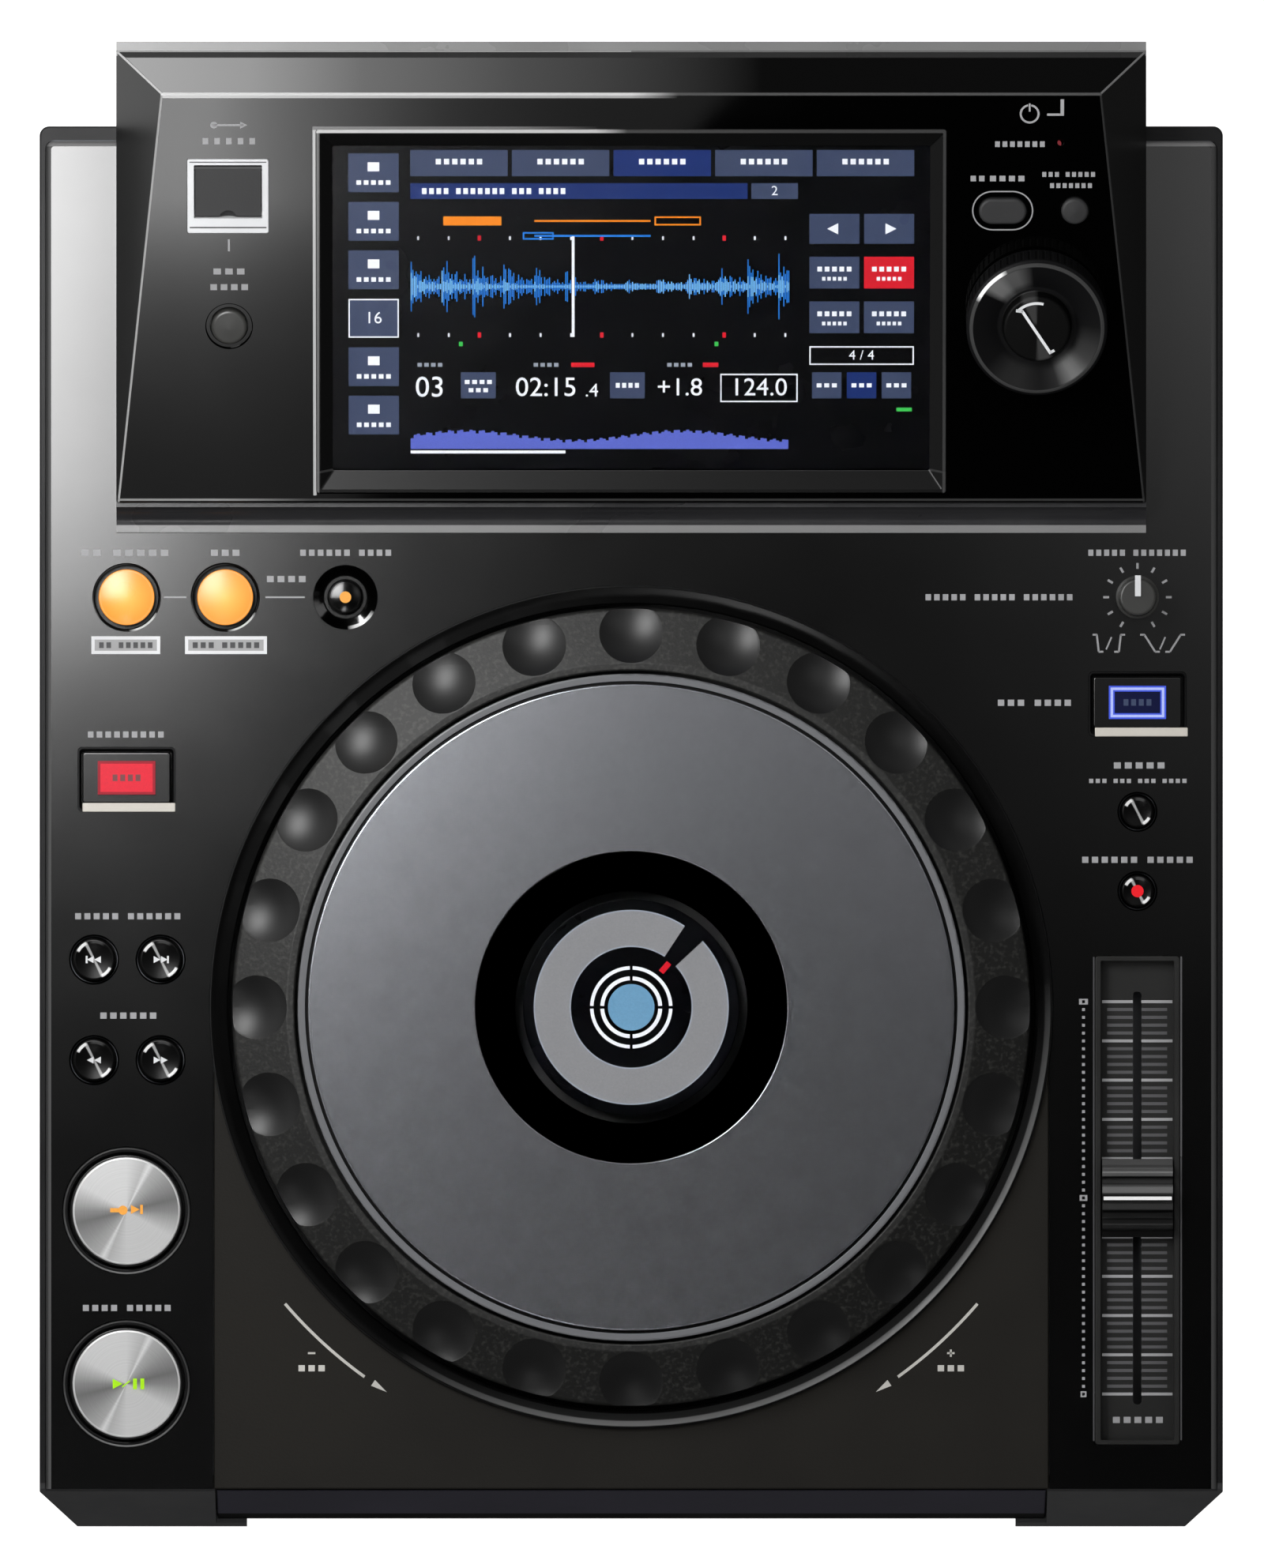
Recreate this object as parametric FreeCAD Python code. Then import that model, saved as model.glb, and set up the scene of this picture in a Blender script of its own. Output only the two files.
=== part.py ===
import FreeCAD, Part
import math
import os

# A tabletop media player with a jog wheel, a tilted touch screen and a pitch fader.
# Millimetres. The front faces -Y and +Z is up.
# The origin is on the table, under the middle of the whole outline.

# Outline
WIDTH = 306.0
DEPTH = 384.4
BODY_REAR_Y = 170.4
CORNER_CUT = 9.4
REAR_CORNER_R = 2.5
LOWER_CUT = 5.5
LOWER_CORNER_R = 4.0
LOWER_CHAMFER = 3.0
WALL = 2.5
HALF_WIDTH = WIDTH / 2
FRONT_Y = -DEPTH / 2
REAR_Y = DEPTH / 2

# Heights
FOOT_H = 8.0
SPLIT_Z = 40.0
DECK_Z = 70.0
PANEL_T = 2.0
SUBDECK_T = 2.5
RIM_Z = 69.3
SEAT_Z = DECK_Z - PANEL_T
SUBDECK_Z = SEAT_Z - SUBDECK_T
NOSE_TOP_Y = -182.2
NOSE_INNER_Y = -178.4

# Top panel and the matt panel in front of the wheel
PANEL_HALF = 151.4
PANEL_REAR_Y = 166.6
PANEL_FRONT_Y = -182.0
CENTRE_HALF = 108.2
CENTRE_Z = 69.3
PANEL_EDGE = 1.4
PANEL_CORNER_R = 2.2
GAP = 0.2

# Jog wheel
JOG_Y = -57.4
WELL_R = 104.2
BEZEL_R = 109.0
BEZEL_TOP_Z = 70.6
RING_R = 103.3
RING_IN_R = 87.0
RING_CREST_R = 89.0
RING_EDGE_R = 102.95
RING_TOP_Z = 83.6
RING_EDGE_Z = 78.0
RING_FOOT_Z = 69.2
DIMPLES = 24
DIMPLE_AT_R = 96.8
DIMPLE_R = 8.5
DIMPLE_DEPTH = 2.3
PLATE_R = 86.2
PLATE_GROOVE_R = (83.4, 84.3)
WINDOW_R = 40.2
PLATE_TOP_Z = 83.8
SPINDLE_R = 11.0
SPINDLE_BORE_R = 8.0
RUN_GAP = 0.05
SLITS = 48

# Tilted housing of the screen
HOUSE_HALF = 133.1
HOUSE_FRONT_Y = 73.0
HOUSE_FRONT_Z = 76.7
HOUSE_TOP_Y = 178.3
HOUSE_TOP_Z = 107.72
HOUSE_TOP_HALF = 121.1
HOUSE_REAR_Y = 189.8
HOUSE_BASE_Z = 75.5
HOUSE_WALL = 2.2
PLINTH_FOOT_Y = 65.2
PLINTH_LEDGE_Z = 70.6
PLINTH_TOP_Z = 75.3
TILT = math.degrees(math.atan2(HOUSE_TOP_Z - HOUSE_FRONT_Z, HOUSE_TOP_Y - HOUSE_FRONT_Y))

# Screen, in the tilted frame: u across, v up the slope from the front edge, w out of the face
SCREEN_HALF = 77.1
SCREEN_V = (8.0, 95.1)
BEZEL_HALF = 81.3
BEZEL_V = (2.5, 100.1)
GLASS_W = -2.6
GLASS_T = 1.1
LCD_T = 4.2
BOARD_W = -11.0
BOARD_T = 1.6

# USB slot with its lit frame and hinged lid
USB_U = -104.0
USB_FRAME_HALF = 10.5
USB_FRAME_V = (72.4, 92.2)
USB_HOLE_HALF = 8.8
USB_HOLE_V = (76.4, 90.7)
USB_WELL_W = -11.0
USB_SOCKET_V = 83.6
LID_PIN_V = 89.5
LID_PIN_W = -1.1
LID_PIN_R = 0.8

# Controls on the housing
STOP_AT = (-103.8, 47.4)
BACK_AT = (95.8, 78.4)
TAG_AT = (114.4, 78.4)
LED_AT = (110.7, 96.6)
BROWSE_AT = (104.6, 50.2)
BROWSE_R = 18.2

# Controls on the deck
LOOP_IN_AT = (-130.5, 48.6)
LOOP_OUT_AT = (-105.0, 48.6)
RELOOP_AT = (-73.9, 48.6)
DIRECTION_AT = (-130.5, 1.9)
JOG_MODE_AT = (130.9, 21.4)
TRACK_Y = -45.1
SEARCH_Y = -71.1
LEFT_X = -138.9
RIGHT_X = -121.7
CUE_AT = (-130.5, -110.1)
PLAY_AT = (-130.5, -154.8)
SPEED_AT = (130.9, 48.6)
RANGE_AT = (130.9, -6.9)
MASTER_AT = (130.9, -27.4)
LOOP_HOLE_R = 8.2
LOOP_RIM_R = 8.9
RELOOP_RIM_R = 8.3
FADER_AT = (130.9, -106.8)
TRAY_HALF = (11.05, 63.3)
TRAY_Y = -107.4
TRAY_FLOOR_Z = 66.9
KEY_HALF = (11.4, 6.6)
KEY_FRAME_HALF = (12.7, 8.4)

# How the buttons stand over their switches
FLANGE_Z = SUBDECK_Z - 0.2
FLANGE_T = 1.3
FLANGE_REACH = 1.9
STEM_Z = 59.8
STEM_R = 2.4
SWITCH_H = 3.6
SWITCH_HALF = 3.0
BUTTON_BOARD_Z = 55.0

# Round buttons on the deck: place, cap radius, cap top height and depth of the dish in the cap
SMALL_BUTTONS = {
    "track_back_button": ((LEFT_X, TRACK_Y), 5.4, 71.8, 0.7),
    "track_forward_button": ((RIGHT_X, TRACK_Y), 5.4, 71.8, 0.7),
    "search_back_button": ((LEFT_X, SEARCH_Y), 5.4, 71.8, 0.7),
    "search_forward_button": ((RIGHT_X, SEARCH_Y), 5.4, 71.8, 0.7),
    "tempo_range_button": (RANGE_AT, 4.1, 71.6, 0.5),
    "master_tempo_button": (MASTER_AT, 4.1, 71.6, 0.5),
}
LAMP_BUTTONS = {
    "loop_in_button": (LOOP_IN_AT, 7.3, 72.3, -0.9),
    "loop_out_button": (LOOP_OUT_AT, 7.3, 72.3, -0.9),
    "reloop_button": (RELOOP_AT, 4.2, 71.4, -0.5),
}
BIG_BUTTONS = {"cue_button": CUE_AT, "play_button": PLAY_AT}
BIG_DISC_R = 13.9
BIG_CAP_R = 14.5
BIG_RING_R = (15.0, 16.4)
KEYS = {"direction_button": DIRECTION_AT, "jog_mode_button": JOG_MODE_AT}

# Case screws, and the posts that carry the boards
BOSS_PAIRS = [(143.5, -174.0), (143.5, -23.0), (143.5, 78.0), (50.0, -172.5)]
BOSS_AT = [(s * x, y) for x, y in BOSS_PAIRS for s in (-1, 1)]
LEFT_POST_AT = [(-117.0, -92.0), (-117.0, -133.0), (-147.0, -58.0), (-115.0, 24.0), (-90.0, 50.0)]
RIGHT_POST_AT = [(116.0, 52.0), (116.0, 6.0), (117.5, -36.0)]
MAIN_POST_AT = [(-104.0, 70.0), (54.0, 70.0), (-104.0, 140.0), (54.0, 140.0)]
POWER_POST_AT = [(70.0, 66.0), (132.0, 66.0), (70.0, 128.0), (132.0, 128.0)]
FOOT_AT = [(s * 122.0, y) for y in (-158.0, 140.0) for s in (-1, 1)]
FOOT_R = 13.0
SCREW_R = 1.45

# Rear panel and its sockets
REAR_HALF = 121.5
REAR_Z = (14.5, 57.0)
REAR_PLATE_Y = (165.3, 166.5)
MAIN_BOARD_Z = (14.0, 15.6)
INLET_AT = (76.0, 31.0)
INLET_HALF = (12.2, 8.2)
LAN_X = 38.0
LAN_HALF = (5.9, 4.3)
LAN_Z = 24.5
USB_B_X = 13.0
USB_B_Z = 22.6
MINI_AT = (-12.0, 30.0)
RCA_AT = [(-38.0, 30.0), (-66.0, 30.0), (-86.0, 30.0)]
RCA_R = 4.15
RCA_BORE_R = 1.7
MINI_BORE_R = 1.8
POWER_AT = (108.0, 40.0)
POWER_R = 4.5
LOCK_AT = (-110.0, 30.0)


def point(a, b):
    return FreeCAD.Vector(a, b, 0)


def rounded_edges(corners, lift):
    """Edges of a closed loop. A corner is (a, b), or (a, b, radius) where it is rounded."""
    stops = []
    for index, corner in enumerate(corners):
        here = point(corner[0], corner[1])
        radius = corner[2] if len(corner) > 2 else 0
        if not radius:
            stops.append((here, None, here))
            continue
        before = corners[index - 1]
        after = corners[(index + 1) % len(corners)]
        back = (point(before[0], before[1]) - here).normalize()
        ahead = (point(after[0], after[1]) - here).normalize()
        half = back.getAngle(ahead) / 2
        reach = radius / math.tan(half)
        middle = (back + ahead).normalize() * (radius / math.sin(half) - radius)
        stops.append((here + back * reach, here + middle, here + ahead * reach))
    edges = []
    for index, (start, middle, end) in enumerate(stops):
        if middle:
            edges.append(Part.Arc(lift(start), lift(middle), lift(end)).toShape())
        following = stops[(index + 1) % len(stops)][0]
        if (following - end).Length > 1e-6:
            edges.append(Part.LineSegment(lift(end), lift(following)).toShape())
    return edges


def sheet(corners, lift):
    return Part.Face(Part.Wire(rounded_edges(corners, lift)))


def prism(corners, low, high):
    """A plan outline carried up from low to high."""
    face = sheet(corners, lambda p: FreeCAD.Vector(p.x, p.y, low))
    return face.extrude(FreeCAD.Vector(0, 0, high - low))


def prism_x(corners, low, high):
    """A (y, z) outline carried along X."""
    face = sheet(corners, lambda p: FreeCAD.Vector(low, p.x, p.y))
    return face.extrude(FreeCAD.Vector(high - low, 0, 0))


def prism_y(corners, low, high):
    """An (x, z) outline carried along Y."""
    face = sheet(corners, lambda p: FreeCAD.Vector(p.x, low, p.y))
    return face.extrude(FreeCAD.Vector(0, high - low, 0))


def lathe(corners, at=(0, 0)):
    """A (radius, z) outline turned round the upright axis through at."""
    face = sheet(corners, lambda p: FreeCAD.Vector(at[0] + p.x, at[1], p.y))
    return face.revolve(FreeCAD.Vector(at[0], at[1], 0), FreeCAD.Vector(0, 0, 1), 360)


def box(x, y, z):
    return Part.makeBox(x[1] - x[0], y[1] - y[0], z[1] - z[0], FreeCAD.Vector(x[0], y[0], z[0]))


def rod(at, z, radius):
    return Part.makeCylinder(radius, z[1] - z[0], FreeCAD.Vector(at[0], at[1], z[0]))


def rod_y(x, z, y, radius):
    return Part.makeCylinder(radius, y[1] - y[0], FreeCAD.Vector(x, y[0], z), FreeCAD.Vector(0, 1, 0))


def tube(at, z, inner, outer):
    return rod(at, z, outer).cut(rod(at, z, inner))


def hole(at, z, radius, lead=0.4):
    """A round hole with a small lead-in cone at its top."""
    cone = Part.makeCone(radius, radius + 2 * lead, 2 * lead, FreeCAD.Vector(at[0], at[1], z[1] - lead))
    return rod(at, z, radius).fuse(cone)


def rectangle(centre, half, radius=0):
    x, y = centre
    a, b = half
    return [(x - a, y - b, radius), (x + a, y - b, radius), (x + a, y + b, radius), (x - a, y + b, radius)]


def soften(shape, radius, pick):
    return shape.makeFillet(radius, [e for e in shape.Edges if pick(e)])


def on_face(shape):
    """Carries a shape from the tilted frame of the screen housing to its place."""
    turned = FreeCAD.Rotation(FreeCAD.Vector(1, 0, 0), TILT)
    place = FreeCAD.Placement(FreeCAD.Vector(0, HOUSE_FRONT_Y, HOUSE_FRONT_Z), turned)
    moved = shape.copy()
    moved.Placement = place.multiply(moved.Placement)
    return moved


def group(shapes):
    return Part.makeCompound(list(shapes))


def fuse_all(shapes):
    first, *rest = shapes
    return first.multiFuse(rest).removeSplitter() if rest else first


def cut_all(shape, tools):
    return shape.cut(list(tools))


def body_outline(inset):
    half = HALF_WIDTH - inset
    front = FRONT_Y + inset
    rear = BODY_REAR_Y - inset
    cut = CORNER_CUT - inset * (2 - math.sqrt(2))
    corner = max(REAR_CORNER_R - inset, 0.5)
    return [
        (-half + cut, front),
        (half - cut, front),
        (half, front + cut),
        (half, rear, corner),
        (-half, rear, corner),
        (-half, front + cut),
    ]


def lower_outline(inset):
    side = HALF_WIDTH - 1.2 - inset
    front = -187.0 + inset
    rear = BODY_REAR_Y - 1.2 - inset
    cut = LOWER_CUT - inset * (2 - math.sqrt(2))
    return [
        (-side + cut, front),
        (side - cut, front),
        (side, front + cut),
        (side, rear, LOWER_CORNER_R),
        (-side, rear, LOWER_CORNER_R),
        (-side, front + cut),
    ]


def lower_case():
    """Bottom tray with vents, foot seats, board posts and the rear opening."""
    top = SPLIT_Z - 0.4
    floor = FOOT_H + WALL
    shell = prism(lower_outline(0), FOOT_H, top)
    bottom_edges = [e for e in shell.Edges if abs(e.BoundBox.ZMax - FOOT_H) < 1e-3]
    shell = shell.makeChamfer(LOWER_CHAMFER, bottom_edges)
    shell = shell.cut(prism(lower_outline(WALL), floor, top + 1))
    lip = prism(lower_outline(WALL), top - 6, top + 2.6)
    lip = lip.cut(prism(lower_outline(WALL + 1.4), top - 7, top + 3))
    lip = lip.cut(box((-REAR_HALF - 6, REAR_HALF + 6), (150, 180), (0, 60)))
    posts = [rod(p, (floor - 0.5, MAIN_BOARD_Z[0]), 3.0) for p in MAIN_POST_AT + POWER_POST_AT]
    seats = [rod(p, (floor - 0.5, floor + 3), 5.0) for p in FOOT_AT]
    shell = fuse_all([shell, lip] + posts + seats)
    tools = [box((-REAR_HALF, REAR_HALF), (150, 180), (REAR_Z[0], SPLIT_Z + 5))]
    tools += [rod(p, (FOOT_H - 1, FOOT_H + 1.3), 3.3) for p in BOSS_AT]
    tools += [rod(p, (FOOT_H, floor + 1), 1.7) for p in BOSS_AT]
    tools += [rod(p, (FOOT_H - 1, FOOT_H + 1.0), FOOT_R + 0.3) for p in FOOT_AT]
    tools += [rod(p, (FOOT_H, floor + 4), 1.6) for p in FOOT_AT]
    tools += vent_slots()
    return cut_all(shell, tools)


def vent_slots():
    """Two fields of slots in the floor, under the power supply and the main board."""
    slots = []
    for centre_x in (-70.0, 80.0):
        for step in range(9):
            y = 84.0 + 8.0 * step
            slots.append(prism(rectangle((centre_x, y), (20.0, 1.5), 1.4), FOOT_H - 1, FOOT_H + WALL + 1))
    return slots


def nose_profile(top, foot, back):
    """(y, z) outline of the sloping front, from its top edge to its foot."""
    return [(top, RIM_Z), (foot, SPLIT_Z), (back, SPLIT_Z), (back, RIM_Z)]


def upper_case():
    """Belt of the case: side walls, sloping nose, and the rim round the deck panel."""
    outer = prism(body_outline(0), SPLIT_Z, RIM_Z)
    outer = outer.common(prism_x(nose_profile(NOSE_TOP_Y, FRONT_Y, 200), -HALF_WIDTH - 1, HALF_WIDTH + 1))
    outer = soften(outer, 0.6, lambda e: e.BoundBox.ZMin > RIM_Z - 0.01 or is_corner(e))
    inner = prism(body_outline(WALL), SPLIT_Z - 1, SEAT_Z)
    behind_nose = [
        (NOSE_INNER_Y, SEAT_Z),
        (NOSE_INNER_Y, SUBDECK_Z),
        (-185.5, SPLIT_Z - 1),
        (200, SPLIT_Z - 1),
        (200, SEAT_Z),
    ]
    tools = [inner.common(prism_x(behind_nose, -HALF_WIDTH, HALF_WIDTH))]
    panel_bed = [
        (-PANEL_HALF - GAP, FRONT_Y),
        (PANEL_HALF + GAP, FRONT_Y),
        (PANEL_HALF + GAP, PANEL_REAR_Y + GAP, PANEL_CORNER_R + GAP),
        (-PANEL_HALF - GAP, PANEL_REAR_Y + GAP, PANEL_CORNER_R + GAP),
    ]
    tools.append(prism(panel_bed, SEAT_Z, RIM_Z + 2))
    # the front plate's bed, and the lip under it that is cut away between the two tabs
    bed = [(-179.7, SEAT_Z), (-187.4, SPLIT_Z + 3), (-200, SPLIT_Z + 3), (-200, SEAT_Z)]
    tools.append(prism_x(bed, -107.6, 107.6))
    tools.append(box((-99.6, 99.6), (-200, -188.4), (SPLIT_Z - 1, SPLIT_Z + 4)))
    tools.append(box((-REAR_HALF, REAR_HALF), (150, 180), (SPLIT_Z - 1, REAR_Z[1])))
    return cut_all(outer, tools)


def deck_chassis():
    """Plate under the deck panels, with the screw bosses and the posts of the boards."""
    half = HALF_WIDTH - WALL - 0.15
    plate = box((-half, half), (NOSE_INNER_Y + 0.2, BODY_REAR_Y - WALL - 0.15), (SUBDECK_Z, SEAT_Z))
    bosses = [rod(p, (FOOT_H + WALL + 0.2, SUBDECK_Z + 0.5), 3.8) for p in BOSS_AT]
    posts = [rod(p, (BUTTON_BOARD_Z, SUBDECK_Z + 0.5), 2.6) for p in LEFT_POST_AT + RIGHT_POST_AT]
    plate = fuse_all([cut_all(plate, chassis_holes())] + bosses + posts)
    return cut_all(plate, [rod(p, (FOOT_H, 24.0), 1.5) for p in BOSS_AT])


def is_corner(edge):
    """The upright edges where the nose turns into the corner cuts and the sides."""
    span = edge.BoundBox
    return span.ZMax - span.ZMin > 15 and span.YMax < -170


def chassis_holes():
    tools = [rod((0, JOG_Y), (SUBDECK_Z - 1, RIM_Z), WELL_R)]
    for at, radius, *_ in SMALL_BUTTONS.values():
        tools.append(rod(at, (SUBDECK_Z - 1, RIM_Z), radius + 0.5))
    for at in (LOOP_IN_AT, LOOP_OUT_AT):
        tools.append(rod(at, (SUBDECK_Z - 1, RIM_Z), LOOP_HOLE_R + 0.3))
    tools.append(rod(RELOOP_AT, (SUBDECK_Z - 1, RIM_Z), 4.7))
    for at in BIG_BUTTONS.values():
        tools.append(rod(at, (SUBDECK_Z - 1, RIM_Z), BIG_RING_R[0]))
    for at in KEYS.values():
        opening = rectangle(at, (KEY_HALF[0] + 0.4, KEY_HALF[1] + 0.4), 1.0)
        tools.append(prism(opening, SUBDECK_Z - 1, RIM_Z))
    tools.append(rod(SPEED_AT, (SUBDECK_Z - 1, RIM_Z), 4.2))
    tools.append(prism(rectangle((FADER_AT[0], TRAY_Y), TRAY_HALF, 1.0), SUBDECK_Z - 1, RIM_Z))
    tools.append(prism(rectangle((0, 118.0), (78.0, 38.0), 4.0), SUBDECK_Z - 1, RIM_Z))
    return tools


def is_deck_rim(edge):
    """The upper edges of the deck plate, but for the front one, which butts against the nose."""
    span = edge.BoundBox
    return span.ZMin > DECK_Z - 0.01 and span.YMax > PANEL_FRONT_Y + 1


def top_panel():
    """Deck plate, open in front of the wheel for the matt panel."""
    plate = prism(
        [
            (-PANEL_HALF, PANEL_FRONT_Y),
            (PANEL_HALF, PANEL_FRONT_Y),
            (PANEL_HALF, PANEL_REAR_Y, PANEL_CORNER_R),
            (-PANEL_HALF, PANEL_REAR_Y, PANEL_CORNER_R),
        ],
        SEAT_Z,
        DECK_Z,
    )
    plate = plate.makeChamfer(PANEL_EDGE, [e for e in plate.Edges if is_deck_rim(e)])
    through = (SEAT_Z - 1, DECK_Z)
    open_through = (SEAT_Z - 1, DECK_Z + 1)
    tools = [rod((0, JOG_Y), open_through, BEZEL_R + 0.1)]
    tools.append(box((-CENTRE_HALF, CENTRE_HALF), (-200, JOG_Y), open_through))
    for at, radius, *_ in SMALL_BUTTONS.values():
        tools.append(hole(at, through, radius + 0.7))
    for at in (LOOP_IN_AT, LOOP_OUT_AT):
        tools.append(rod(at, open_through, LOOP_HOLE_R))
        tools.append(dish(at, (LOOP_HOLE_R, LOOP_RIM_R), 0.3))
    tools.append(rod(RELOOP_AT, open_through, 4.7))
    tools.append(dish(RELOOP_AT, (5.9, RELOOP_RIM_R), 1.0))
    for at in BIG_BUTTONS.values():
        tools.append(hole(at, through, BIG_RING_R[1] + 0.1, 0.2))
    for at in KEYS.values():
        tools.append(prism(rectangle(key_frame_centre(at), KEY_FRAME_HALF, 1.2), SEAT_Z - 1, DECK_Z + 1))
    tools.append(hole(SPEED_AT, through, 4.4, 0.2))
    tools.append(prism(rectangle((FADER_AT[0], TRAY_Y), TRAY_HALF, 1.0), SEAT_Z - 1, DECK_Z + 1))
    tools.append(prism(rectangle((0, 118.0), (78.0, 38.0), 4.0), SEAT_Z - 1, DECK_Z + 1))
    return cut_all(plate, tools)


def dish(at, radii, depth):
    """Tool for a shallow round hollow in the deck, with a sloping wall between both radii."""
    foot_r, rim_r = radii
    foot = DECK_Z - depth
    high = DECK_Z + 0.5
    return lathe([(0, foot), (foot_r, foot), (rim_r, DECK_Z), (rim_r, high), (0, high)], at)


def centre_panel():
    """Matt panel between the two flanks, in front of the wheel."""
    half = CENTRE_HALF - GAP
    plate = box((-half, half), (PANEL_FRONT_Y, JOG_Y), (SEAT_Z, CENTRE_Z))
    plate = plate.makeChamfer(0.3, [e for e in plate.Edges if e.BoundBox.ZMin > CENTRE_Z - 0.01])
    return plate.cut(rod((0, JOG_Y), (SEAT_Z - 1, CENTRE_Z + 1), BEZEL_R + 0.1))


def jog_bezel():
    """Ring round the wheel, raised a little outside and sinking towards the wheel as a shallow dish."""
    return lathe(
        [
            (WELL_R, SEAT_Z),
            (BEZEL_R, SEAT_Z),
            (BEZEL_R, BEZEL_TOP_Z, 0.2),
            (BEZEL_R - 0.5, BEZEL_TOP_Z, 0.3),
            (WELL_R + 0.4, BEZEL_TOP_Z - 1.1, 0.3),
            (WELL_R, BEZEL_TOP_Z - 1.5),
        ],
        (0, JOG_Y),
    )


def front_plate():
    """Sloping plate of the nose, between the flanks."""
    plate = prism_x([(-180.4, 67.6), (-182.7, 67.6), (-190.1, 43.3), (-187.7, 43.3)], -107.2, 107.2)
    return soften(plate, 0.4, lambda e: e.BoundBox.YMax - e.BoundBox.YMin > 5 and e.BoundBox.YMin < -189)


def key_frame_centre(at):
    """The frame reaches further towards the user than the key does."""
    return (at[0], at[1] - 0.4)


def key_frame(at):
    x, y = key_frame_centre(at)
    inner = rectangle(at, (KEY_HALF[0] + 0.3, KEY_HALF[1] + 0.2), 0.8)
    outline = rectangle((x, y), (KEY_FRAME_HALF[0] - 0.1, KEY_FRAME_HALF[1] - 0.1), 1.1)
    frame = prism(outline, SEAT_Z, DECK_Z + 0.4)
    low = Part.Wire(rounded_edges(inner, lambda p: FreeCAD.Vector(p.x, p.y, DECK_Z - 1.2)))
    rim = rectangle((x, y), (KEY_FRAME_HALF[0] - 0.45, KEY_FRAME_HALF[1] - 0.45), 1.0)
    high = Part.Wire(rounded_edges(rim, lambda p: FreeCAD.Vector(p.x, p.y, DECK_Z + 0.5)))
    funnel = Part.makeLoft([low, high], True, True)
    return cut_all(frame, [funnel, prism(inner, SEAT_Z - 1, DECK_Z)])


def big_ring(at):
    inner, outer = BIG_RING_R
    return lathe(
        [(inner, SEAT_Z), (outer, SEAT_Z), (outer, DECK_Z + 0.5, 0.4), (inner, DECK_Z + 0.5, 0.4)],
        at,
    )


def button_frames():
    return group([key_frame(at) for at in KEYS.values()] + [big_ring(at) for at in BIG_BUTTONS.values()])


def round_button(at, radius, top, dish):
    """Cap, flange and stem. A positive dish is hollow, a negative one is a dome."""
    flange_foot = FLANGE_Z - FLANGE_T
    edge_top = top if dish > 0 else top + dish
    blank = lathe(
        [
            (0, STEM_Z),
            (STEM_R, STEM_Z, 0.4),
            (STEM_R, flange_foot),
            (radius + FLANGE_REACH, flange_foot),
            (radius + FLANGE_REACH, FLANGE_Z),
            (radius, FLANGE_Z),
            (radius, edge_top, 0.5),
            (0, edge_top),
        ],
        at,
    )
    rise = abs(dish)
    rim = radius - 0.6
    ball_r = (rim * rim + rise * rise) / (2 * rise)
    if dish > 0:
        ball = Part.makeSphere(ball_r, FreeCAD.Vector(at[0], at[1], top - rise + ball_r))
        return blank.cut(ball)
    ball = Part.makeSphere(ball_r, FreeCAD.Vector(at[0], at[1], top - ball_r))
    cap = ball.common(rod(at, (edge_top - 0.01, top + 1), rim))
    return blank.fuse(cap)


def big_button(at):
    """Spun metal disc set in a black plunger."""
    flange_foot = FLANGE_Z - FLANGE_T
    plunger = lathe(
        [
            (0, STEM_Z),
            (STEM_R + 1, STEM_Z, 0.4),
            (STEM_R + 1, flange_foot),
            (BIG_RING_R[0] + 0.9, flange_foot),
            (BIG_RING_R[0] + 0.9, FLANGE_Z),
            (BIG_CAP_R, FLANGE_Z),
            (BIG_CAP_R, 71.4, 0.3),
            (BIG_DISC_R + 0.05, 71.4),
            (BIG_DISC_R + 0.05, 70.6),
            (0, 70.6),
        ],
        at,
    )
    disc = lathe([(0, 70.6), (BIG_DISC_R, 70.6), (BIG_DISC_R, 72.1, 0.45), (0, 72.6)], at)
    return group([plunger, disc])


def key_button(at):
    """Flat rectangular key with a raised lens."""
    flange_foot = FLANGE_Z - FLANGE_T
    flange = box_at(at, (KEY_HALF[0] + 1.2, KEY_HALF[1] + 1.2), (flange_foot, FLANGE_Z))
    cap = prism(rectangle(at, KEY_HALF, 0.8), FLANGE_Z - 0.5, DECK_Z - 0.3)
    cap = soften(cap, 0.4, lambda e: e.BoundBox.ZMin > DECK_Z - 0.31)
    lens = prism(rectangle(at, (7.35, 4.4), 0.5), DECK_Z - 0.8, DECK_Z + 0.1)
    lens = soften(lens, 0.25, lambda e: e.BoundBox.ZMin > DECK_Z + 0.09)
    stem = rod(at, (STEM_Z, FLANGE_Z), STEM_R)
    return fuse_all([flange, cap, lens, stem])


def box_at(at, half, z):
    return box((at[0] - half[0], at[0] + half[0]), (at[1] - half[1], at[1] + half[1]), z)


def speed_knob():
    """Small turned knob with a raised pointer, on its shaft."""
    skirt = lathe(
        [(0, 70.6), (5.6, 70.6), (5.6, 72.2, 0.3), (5.0, 72.6), (4.7, 80.6, 0.7), (0, 80.6)],
        SPEED_AT,
    )
    x, y = SPEED_AT
    grooves = []
    for step in range(18):
        angle = math.radians(20 * step + 10)
        grooves.append(rod((x + 5.3 * math.cos(angle), y + 5.3 * math.sin(angle)), (72.8, 79.6), 0.55))
    pointer = box((x - 0.75, x + 0.75), (y, y + 5.0), (79.9, 80.9))
    shaft = rod(SPEED_AT, (58.0, 71.0), 3.0)
    return fuse_all([cut_all(skirt, grooves), pointer, shaft])


def speed_pot():
    body = box_at(SPEED_AT, (5.2, 5.6), (BUTTON_BOARD_Z, 62.5))
    neck = rod(SPEED_AT, (62.0, 66.5), 4.0)
    return body.fuse(neck).cut(rod(SPEED_AT, (57.5, 67.0), 3.0 + RUN_GAP))


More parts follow.
